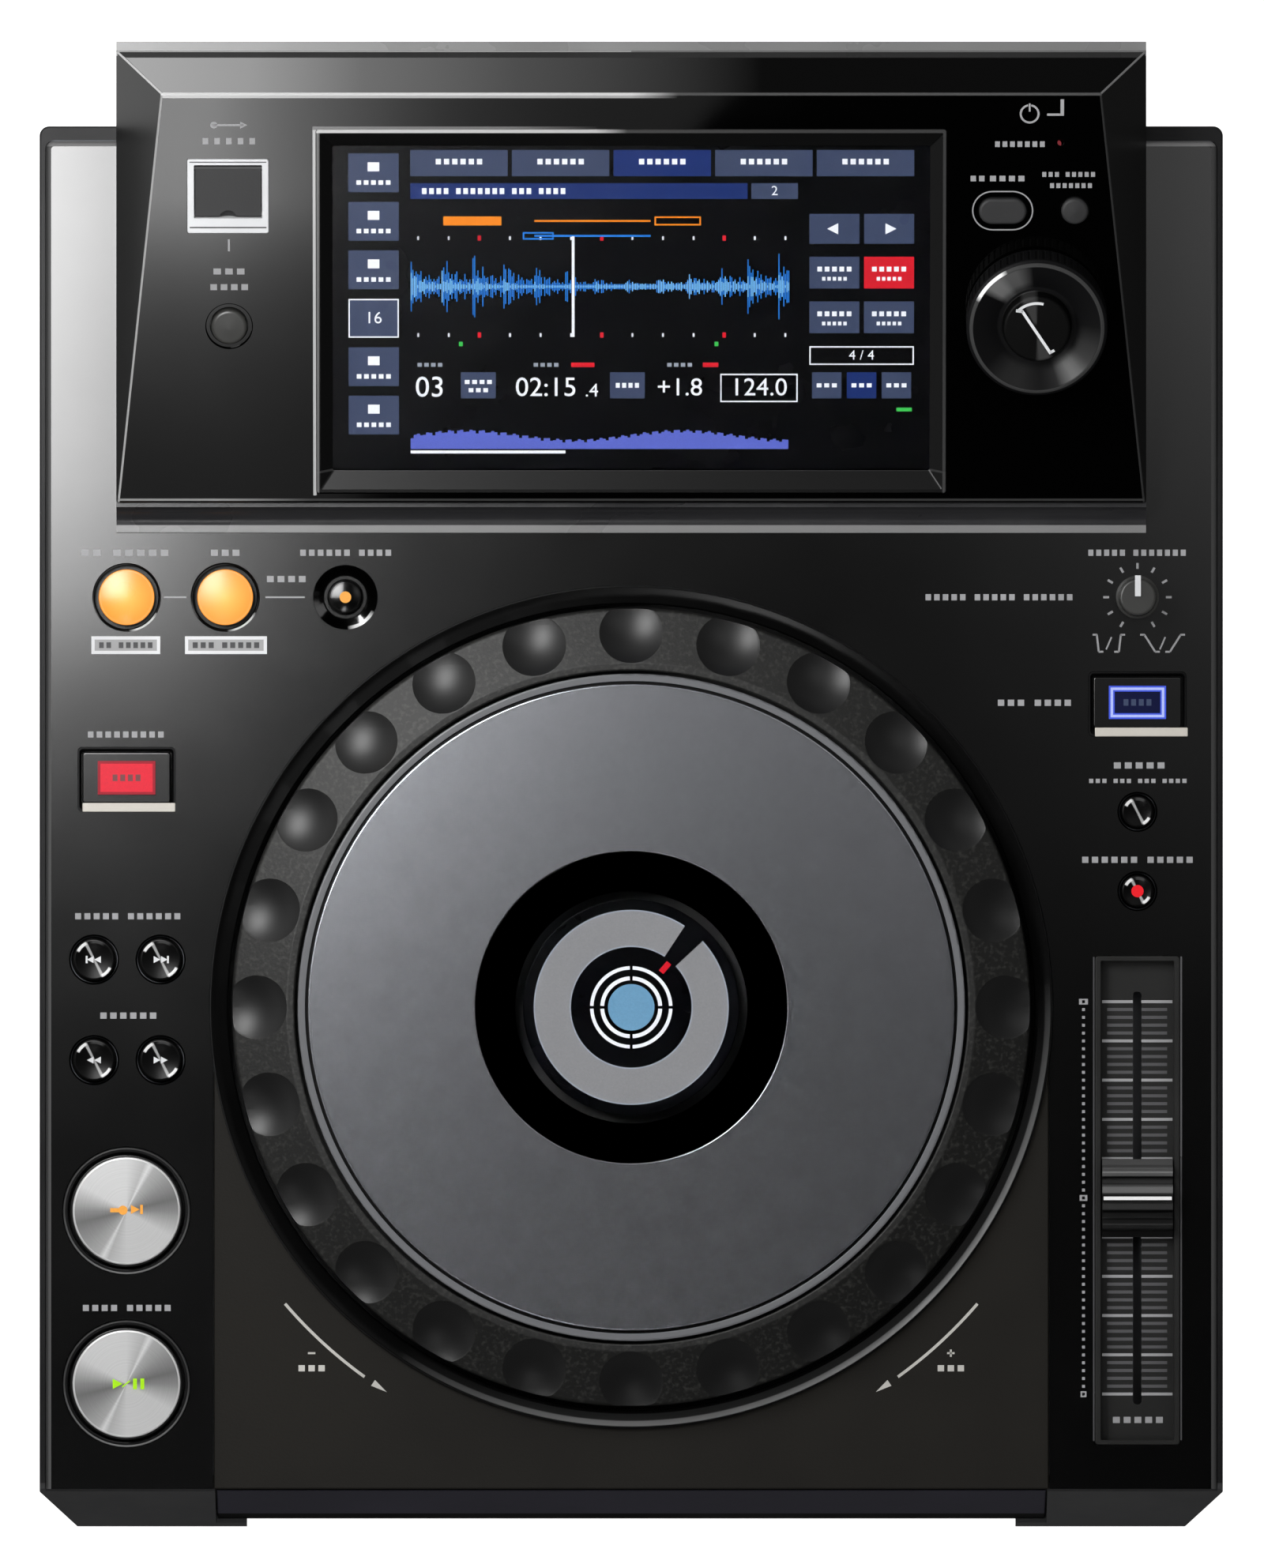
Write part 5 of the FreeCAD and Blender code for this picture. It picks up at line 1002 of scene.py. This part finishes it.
def makeScreenPicture():
    slate, navy, white, grey, red = [], [], [], [], []
    # tabs along the top and tiles down the left
    width = (tabs["right"] - tabs["left"] - tabs["gap"] * (tabs["count"] - 1)) / tabs["count"]
    middle, tall = (tabs["low"] + tabs["high"]) / 2, tabs["high"] - tabs["low"]
    for index in range(tabs["count"]):
        x = tabs["left"] + width / 2 + index * (width + tabs["gap"])
        (navy if index == 2 else slate).append(bar(x, middle, width, tall))
        white += blockMarks(x - 6.0, x + 6.0, middle + 0.4, 1.5, (6,))
    x, size = column["x"], (column["width"], column["height"])
    for row in range(column["rows"]):
        y = column["top"] - row * column["pitch"]
        slate.append(bar(x, y, *size))
        if row == 3:
            white += outline(x, y, *size, 0.35) + [figures("16", x, y, 3.2)]
        else:
            white += blockMarks(x - 4.4, x + 4.4, y - 2.6, 1.2, (5,)) + [bar(x, y + 1.6, 3.0, 2.4)]
    navy.append(bar((tabs["left"] + 30) / 2, 82.6, 30 - tabs["left"], 4.2))
    white += blockMarks(-54.0, -17.0, 82.6, 1.6, (4, 7, 3, 4))
    slate.append(bar(37.0, 82.6, 12.0, 4.2))
    white.append(figures("2", 37.0, 82.6, 2.6))
    # right column: two arrow tiles, one lit tile, three plain ones
    left, right = tiles["left"], tiles["right"]
    half = (right - left - 1.2) / 2
    for side, x in enumerate((left + half / 2, right - half / 2)):
        for row, (low, high) in enumerate(((68.5, 76.5), (56.5, 65.0), (44.5, 53.0))):
            (red if (row, side) == (1, 1) else slate).append(bar(x, (low + high) / 2, half, high - low))
        white.append(arrowHead(x, 72.5, 1.9, 0 if side else 180))
        for y in (60.7, 48.7):
            white += captionRows([(x - 4.4, x + 4.4, y + 1.0, 1.3, (5,)), (x - 3.2, x + 3.2, y - 1.6, 1.0, (5,))])
    white += outline((left + right) / 2, 38.5, right - left, 5.0, 0.35)
    white.append(figures("4 / 4", (left + right) / 2, 38.5, 2.6))
    # bottom row of readouts
    slate += [bar(-39.5, 30.5, 9.0, 7.0), bar(-1.0, 30.5, 9.0, 7.0)]
    white += captionRows(readoutCaptions) + [figures(*readout) for readout in readouts]
    white += outline(33.0, 29.8, 20.0, 7.6, 0.35)
    for x in (-52.0, -22.0, 12.5):
        grey += blockMarks(x - 3.2, x + 3.2, 36.0, 1.0, (4,))
    red += [bar(-12.5, 36.0, 6.0, 1.2), bar(20.5, 36.0, 4.0, 1.2)]
    for index, x in enumerate((50.5, 59.5, 68.5)):
        (navy if index == 1 else slate).append(bar(x, 30.5, 7.6, 7.0))
        white += blockMarks(x - 2.6, x + 2.6, 30.5, 1.1, (3,))
    # the two ends of the loop bar and the tile lamp
    orange = [bar(-41.0, 74.6, 15.0, 2.4), bar(-10.0, 74.6, 30.0, 0.5)] + outline(12.0, 74.6, 12.0, 2.4, 0.4)
    blue = [bar(-10.0, 70.6, 30.0, 0.5)] + outline(-24.0, 70.6, 8.0, 2.0, 0.4)
    green = [bar(-44.0, 41.6, 1.0, 1.2), bar(22.0, 41.6, 1.0, 1.2), bar(70.5, 24.0, 4.0, 1.0)]
    # wave, with a row of beats above and below it
    left, middle, height = wave["left"], wave["middle"], wave["height"]
    span, width = (left, wave["right"], wave["pitch"]), 0.26
    tall = columns(*span, width, lambda step: waveLevel(step, 0.4), middle, height, True)
    core = columns(*span, width, lambda step: 0.45 * waveLevel(step, 1.7), middle, height, True)
    playhead, beats, beatPitch = bar(wave["playhead"], middle, 0.7, 27), [], wave["beat"]
    for y in (middle + 13.0, middle - 13.0):
        beats.append(repeat(bar(left + 2, y, 0.5, 1.0), 13, beatPitch))
        red.append(repeat(bar(left + 2 + 2 * beatPitch, y, 0.9, 1.4), 3, 4 * beatPitch))

    def overviewLevel(step):
        return 0.55 + 0.25 * math.sin(step * 0.09) + 0.2 * abs(math.sin(step * 0.9))

    span = (overview["left"], overview["right"], overview["pitch"])
    whole = columns(*span, 0.8, overviewLevel, overview["foot"], overview["height"], False)
    for name, pieces, finish, low, thick in (
        ("slate", slate, "litSlate", -0.02, 0.035), ("navy", navy, "litNavy", -0.02, 0.035),
        ("white", white, "litWhite", 0.005, 0.05), ("grey", grey, "litGrey", -0.02, 0.045),
        ("orange", orange, "litOrange", -0.02, 0.045), ("blue", blue, "litBlue", -0.02, 0.045),
        ("green", green, "litGreen", -0.02, 0.045), ("wave", [tall], "litBlue", -0.02, 0.035),
        ("wave_core", [core], "litPaleBlue", 0.005, 0.04),
        ("playhead", [playhead], "litWhite", 0.01, 0.045),
        ("beats", beats, "litWhite", -0.02, 0.04), ("red", red, "litRed", -0.02, 0.045),
        ("overview", [whole], "litIndigo", -0.02, 0.035),
        ("progress", [bar(-37, 12.6, 40, 0.8)], "litWhite", -0.02, 0.04),
    ):
        lay("screen_" + name, pieces, screenPlace, finish, low=low, thick=thick)


# the round picture in the middle of the wheel
wheelPicture = {
    "band": (15.6, 25.2), "gapFrom": 33.4, "gapTo": 47.2, "whiteRings": ((9.75, 10.65), (7.0, 8.0)), "disc": 6.0,
}


def makeWheelPicture():
    inner, outer = wheelPicture["band"]
    start, sweep = 90 - wheelPicture["gapFrom"], 360 - (wheelPicture["gapTo"] - wheelPicture["gapFrom"])
    band, innerEdge, outerEdge = (
        ringBand(low, high, (0, 0), start, sweep, 96)
        for low, high in ((inner, outer), (inner, inner + 0.35), (outer - 0.35, outer))
    )
    white = []
    for low, high in wheelPicture["whiteRings"]:
        gap = math.degrees(0.35 / low)
        for quarter in range(4):
            white.append(ringBand(low, high, (0, 0), 90 * quarter + gap, 90 - 2 * gap, 14))
    disc, turn = spot(0, 0, wheelPicture["disc"], 64), math.radians(90 - 40.4)
    mark = bar(13.5 * math.cos(turn), 13.5 * math.sin(turn), 3.2, 1.5, math.degrees(turn))
    for name, pieces, finish, low in (
        ("band", [band], "litBand", -0.02), ("band_edge", [innerEdge, outerEdge], "litGrey", -0.01),
        ("rings", white, "litWhite", -0.02), ("disc", [disc], "litSky", -0.02), ("mark", [mark], "litRed", 0.0),
    ):
        lay("wheel_" + name, pieces, wheelPlace, finish, low=low)


def addDetail(name, body, height, finish, thick, pieces, low=-0.02):
    lay(name, pieces, atHeight(height), finish, body, low, thick)


def makeButtonDetails():
    # lit windows, symbols and trims of the keys and buttons
    for name, (x, y), finish, mark in (
        ("direction", (-130.5, 1.9), "keyRed", "keyShadow"), ("jog_mode", (130.9, 21.4), "keyNavy", "litSlate"),
    ):
        body = name + "_button"
        addDetail(name + "_window", body, 70.08, finish, 0.14, [bar(x, y, 14.6, 8.4)])
        addDetail(name + "_mark", body, 70.2, mark, 0.05, blockMarks(x - 3.6, x + 3.6, y, 1.7, (4,)))
    for label, border, finish, thick in (
        ("jog_mode_border", outline(130.9, 21.4, 14.8, 8.6, 1.5), "lampBlue", 0.2),
        ("jog_mode_border_core", outline(130.9, 21.4, 13.9, 7.7, 0.65), "lampPaleBlue", 0.24),
    ):
        addDetail(label, "jog_mode_button", 70.08, finish, thick, border)
    edging = outline(-130.5, 1.9, 14.9, 8.7, 0.7)
    addDetail("direction_border", "direction_button", 70.08, "keyDeep", 0.18, edging)

    cue = [spot(-131.4, -109.9, 1.2, 16), bar(-133.6, -109.9, 2.2, 1.1)]
    cue += [arrowHead(-128.6, -109.7, 1.5, 0), bar(-126.6, -109.7, 0.7, 2.4)]
    addDetail("cue_symbol", "cue_button", 72.52, "lampOrange", 0.12, cue)
    play = [arrowHead(-133.2, -154.8, 1.7, 0), line((-131.6, -155.6), (-129.6, -154.0), 0.35)]
    play += [bar(x, -154.8, 1.0, 2.8) for x in (-128.3, -126.4)]
    addDetail("play_symbol", "play_button", 72.52, "lampGreen", 0.12, play)
    for row, y in (("track", -45.1), ("search", -71.1)):
        for side, x, sign in (("back", -138.9, -1), ("forward", -121.7, 1)):
            turn = 180 if sign < 0 else 0
            marks = [arrowHead(x + sign * ahead, y, 1.15, turn) for ahead in (-1.2, 0.7)]
            if row == "track":
                marks.append(bar(x + sign * 1.9, y, 0.5, 1.9))
            name = row + "_" + side
            addDetail(name + "_symbol", name + "_button", 71.2, "printPale", 0.1, marks)
    for name, (x, y), radius, height, finish, thick in (
        ("reloop", (-73.9, 48.6), 1.5, 71.32, "lampOrange", 0.16),
        ("master_tempo", (130.9, -27.4), 1.6, 71.04, "lampRed", 0.2),
    ):
        addDetail(name + "_lamp", name + "_button", height, finish, thick, [spot(x, y, radius, 20)])
    pointer, blade = [bar(130.9, 51.5, 1.5, 5.4)], [bar(130.9, -106.8, 17.6, 0.9)]
    addDetail("speed_pointer", "speed_knob", 80.3, "printPale", 0.7, pointer, 0)
    addDetail("fader_line", "fader_cap", 75.35, "printWhite", 0.1, blade, 0)
    # painted reflection on the selector's hub: a bright S-shaped streak with an arc at its upper left
    knob = [
        line((99.2, 55.2), (101.0, 55.0), 0.8), line((100.7, 55.2), (108.2, 43.7), 0.75),
        ringBand(6.6, 7.3, selector["at"], 76, 60, 10), line((107.9, 43.9), (109.1, 44.6), 0.7),
    ]
    lay("browse_hub_reflection", knob, facePlace @ atHeight(12.85), "printPale", "browse_knob", low=0, thick=0.1)


keyLipHighlights = {
    # painted highlight: a pale bar in front of each key frame stands for its lit lower wall. Middle of each key
    # frame; then how far in front of it and how high the lip is, its size and its rounding
    "at": {"direction_lip_highlight": (-129.9, 1.9), "jog_mode_lip_highlight": (131.9, 21.4)},
    "before": 7.65, "height": 0.35, "size": (24.0, 2.3, 0.5), "edge": 0.22,
}


def makeKeyLipHighlights():
    for name, (x, y) in keyLipHighlights["at"].items():
        where = (x * mm, (y - keyLipHighlights["before"]) * mm, keyLipHighlights["height"] * mm)
        bpy.ops.mesh.primitive_cube_add(size=1, location=where)
        lip = bpy.context.object
        lip.scale = [side * mm for side in keyLipHighlights["size"]]
        lip = joined(name, [lip])
        bevel = lip.modifiers.new("edge", "BEVEL")
        bevel.width = keyLipHighlights["edge"] * mm
        bevel.segments = 2
        bpy.ops.object.modifier_apply(modifier="edge")
        settle(lip, deckPlace, 0, "lipHighlight", "base")


makeDeckPrints()
makeTrayPrints()
makeCentrePrints()
makeFacePrints()
print("prints laid")
makeScreenPicture()
makeWheelPicture()
print("pictures laid")
makeButtonDetails()
makeKeyLipHighlights()
print("button details made")


# stage: white floor that keeps a soft shadow, soft lamps, pale room
floorGlow = {
    # how bright glossy parts see the floor: strongest behind the left corner
    "alongX": [
        (-0.25, 0.5), (-0.15, 1.2), (-0.13, 2.7), (-0.10, 2.2), (-0.07, 1.05), (-0.03, 0.5), (0.034, 0.02),
    ],
    "frontToBack": (-0.15, 0.12), "front": 0.12, "paper": shade(180),
}


def makeStage():
    bpy.ops.mesh.primitive_plane_add(size=8)
    floor = bpy.context.object
    floor.name = "floor"
    shader, point = startMaterial("floorPaper", 0.9, 0.1)
    addGrain(shader, point, 400, 0.02, 0.9, spread=0.05)
    tree = point.id_data
    glow = tree.nodes.new("ShaderNodeEmission")
    path = tree.nodes.new("ShaderNodeLightPath").outputs
    mirrored = calc("MAXIMUM", path["Is Glossy Ray"], path["Is Transmission Ray"])
    spotOnFloor = axes(point)
    leftward = gradient(spotOnFloor["X"], floorGlow["alongX"])
    behind = ramp(spotOnFloor["Y"], *floorGlow["frontToBack"])
    graded = ramp(behind, 0.0, 1.0, floorGlow["front"], leftward)
    white = calc("MULTIPLY", path["Is Camera Ray"], 0.93)
    seen = calc("MAXIMUM", white, calc("MULTIPLY", mirrored, graded))
    feed(glow.inputs["Strength"], seen)
    paper = blendColour(path["Is Glossy Ray"], floorGlow["paper"], shade(0))
    feed(shader.inputs["Base Color"], paper)
    both = tree.nodes.new("ShaderNodeAddShader")
    feed(both.inputs[0], shader.outputs[0])
    feed(both.inputs[1], glow.outputs[0])
    feed(tree.nodes["Material Output"].inputs["Surface"], both.outputs[0])
    floor.data.materials.append(finishes["floorPaper"])


lamps = {
    # place, point aimed at, size and radiance; then log radiance along x and y as (place, change) pairs.
    # The key lamp is what gloss mirrors, and the day lamp in the same place gives the plain light
    "keySoftbox": {
        "at": (-0.262, 0.262, 0.57), "aim": (-0.262, 0.262, 0.0), "size": (0.27, 0.43), "level": 17.0,
        "alongX": [(-0.20, 0.0), (-0.127, -0.35)], "alongY": [(0.047, -0.45), (0.17, 0.0)], "plain": False,
    },
    "daySoftbox": {
        "at": (-0.262, 0.262, 0.57), "aim": (-0.1, 0.1, 0.0), "size": (0.27, 0.43), "level": 5.0,
        "mirrored": False,
    },
    "rightFill": {
        "at": (0.24, 0.15, 0.57), "aim": (0.24, 0.15, 0.0), "size": (0.32, 0.40), "level": 0.9,
        "alongX": [(0.08, -1.6), (0.16, 0.0)], "alongY": [(-0.05, -2.6), (0.15, 0.0)],
    },
}


def areaLamp(name, at, size, level, turned, plain=True, mirrored=True):
    bpy.ops.object.light_add(type="AREA", location=at)
    lamp = bpy.context.object
    lamp.name = name
    lamp.data.shape = "RECTANGLE"
    lamp.data.size, lamp.data.size_y = size
    lamp.data.energy = level * math.pi * size[0] * size[1]
    lamp.rotation_euler = turned.to_euler()
    lamp.visible_camera = False
    lamp.visible_diffuse = plain
    lamp.visible_glossy = mirrored
    lamp.data.use_nodes = True
    nodes = lamp.data.node_tree.nodes
    return nodes["Emission"].inputs["Strength"], nodes.new("ShaderNodeNewGeometry").outputs["Position"]


def fading(*ways):
    # radiance from log radiance along two ways
    return calc("EXPONENT", calc("ADD", *(gradient(*way) for way in ways)))


def addLamp(name, at, aim, size, level, alongX=(), alongY=(), plain=True, mirrored=True):
    turned = (Vector(aim) - Vector(at)).to_track_quat("-Z", "Y")
    strength, position = areaLamp(name, at, size, level, turned, plain, mirrored)
    if alongX:
        onLamp = axes(position)
        feed(strength, fading((onLamp["X"], alongX), (onLamp["Y"], alongY)))


def makeWorld():
    world = bpy.data.worlds.new("paleRoom")
    bpy.context.scene.world = world
    world.use_nodes = True
    tree = world.node_tree
    way = tree.nodes.new("ShaderNodeTexCoord").outputs["Generated"]
    height = axes(way)["Z"]
    # darker overhead than at the horizon, so that flat tops stay black; brightest behind the left corner
    side = vectorCalc("DOT_PRODUCT", way, (-0.707, 0.707, 0.0))
    horizon = ramp(side, -0.1, 0.9, 0.14, 0.9)
    overhead = calc("MULTIPLY", horizon, ramp(height, 0.1, 0.6, 1.0, 0.0))
    # even room light on what is matt
    path = tree.nodes.new("ShaderNodeLightPath").outputs
    even = calc("MULTIPLY", path["Is Diffuse Ray"], 0.58)
    level = calc("MAXIMUM", calc("MAXIMUM", overhead, even), path["Is Camera Ray"])
    background = tree.nodes["Background"]
    background.inputs["Color"].default_value = (1, 1, 1, 1)
    feed(background.inputs["Strength"], level)


# straight above the deck, far off, so that the view is nearly parallel
cameraLook = {"at": (0.0002, 0.0003, 0.070 + 11.264), "lens": 1000, "film": 36, "far": 40}


def makeCamera():
    bpy.ops.object.camera_add(location=cameraLook["at"], rotation=(0, 0, 0))
    camera = bpy.context.object
    camera.data.lens = cameraLook["lens"]
    camera.data.sensor_fit = "VERTICAL"
    camera.data.sensor_height = cameraLook["film"]
    camera.data.clip_end = cameraLook["far"]
    bpy.context.scene.camera = camera


faceLamp = {
    # laid out as the camera sees it in the face, in mm from the middle of the lamp
    "middle": (-122.5, 117.8), "distance": 1.5, "size": (0.30, 0.20), "turn": 47.5, "level": 1.0,
    "across": [(0.0, 2.4), (46.0, 1.0), (70.0, -0.1), (93.0, -1.2), (116.0, -3.1)],
    "down": [(-120.0, -5.9), (-73.0, -3.0), (-15.0, 0.0)], "even": 0.6,
}


def addFaceLamp(settings):
    # a lamp that the leaning face mirrors straight up: its low edge crosses the face on the slant
    mirrored = Vector((0.0, -math.sin(2 * tilt), math.cos(2 * tilt)))
    middle = onFace(*settings["middle"]) + mirrored * settings["distance"]
    turned = Matrix.Rotation(2 * tilt, 3, "X") @ Matrix.Rotation(math.radians(settings["turn"]), 3, "Z")
    strength, position = areaLamp("faceSoftbox", middle, settings["size"], settings["level"], turned)
    # brightest at the upper left, over an even level
    offset = vectorCalc("SUBTRACT", position, tuple(middle))
    onLamp = axes(vectorCalc("SCALE", offset, factor=1000.0))
    height = calc("DIVIDE", onLamp["Y"], math.cos(2 * tilt))
    fades = fading((onLamp["X"], settings["across"]), (height, settings["down"]))
    feed(strength, calc("ADD", fades, settings["even"]))


makeStage()
makeWorld()
for name, settings in lamps.items():
    addLamp(name, **settings)
addFaceLamp(faceLamp)
makeCamera()
bpy.context.scene.view_settings.view_transform = "Standard"
print("stage and lamps set")
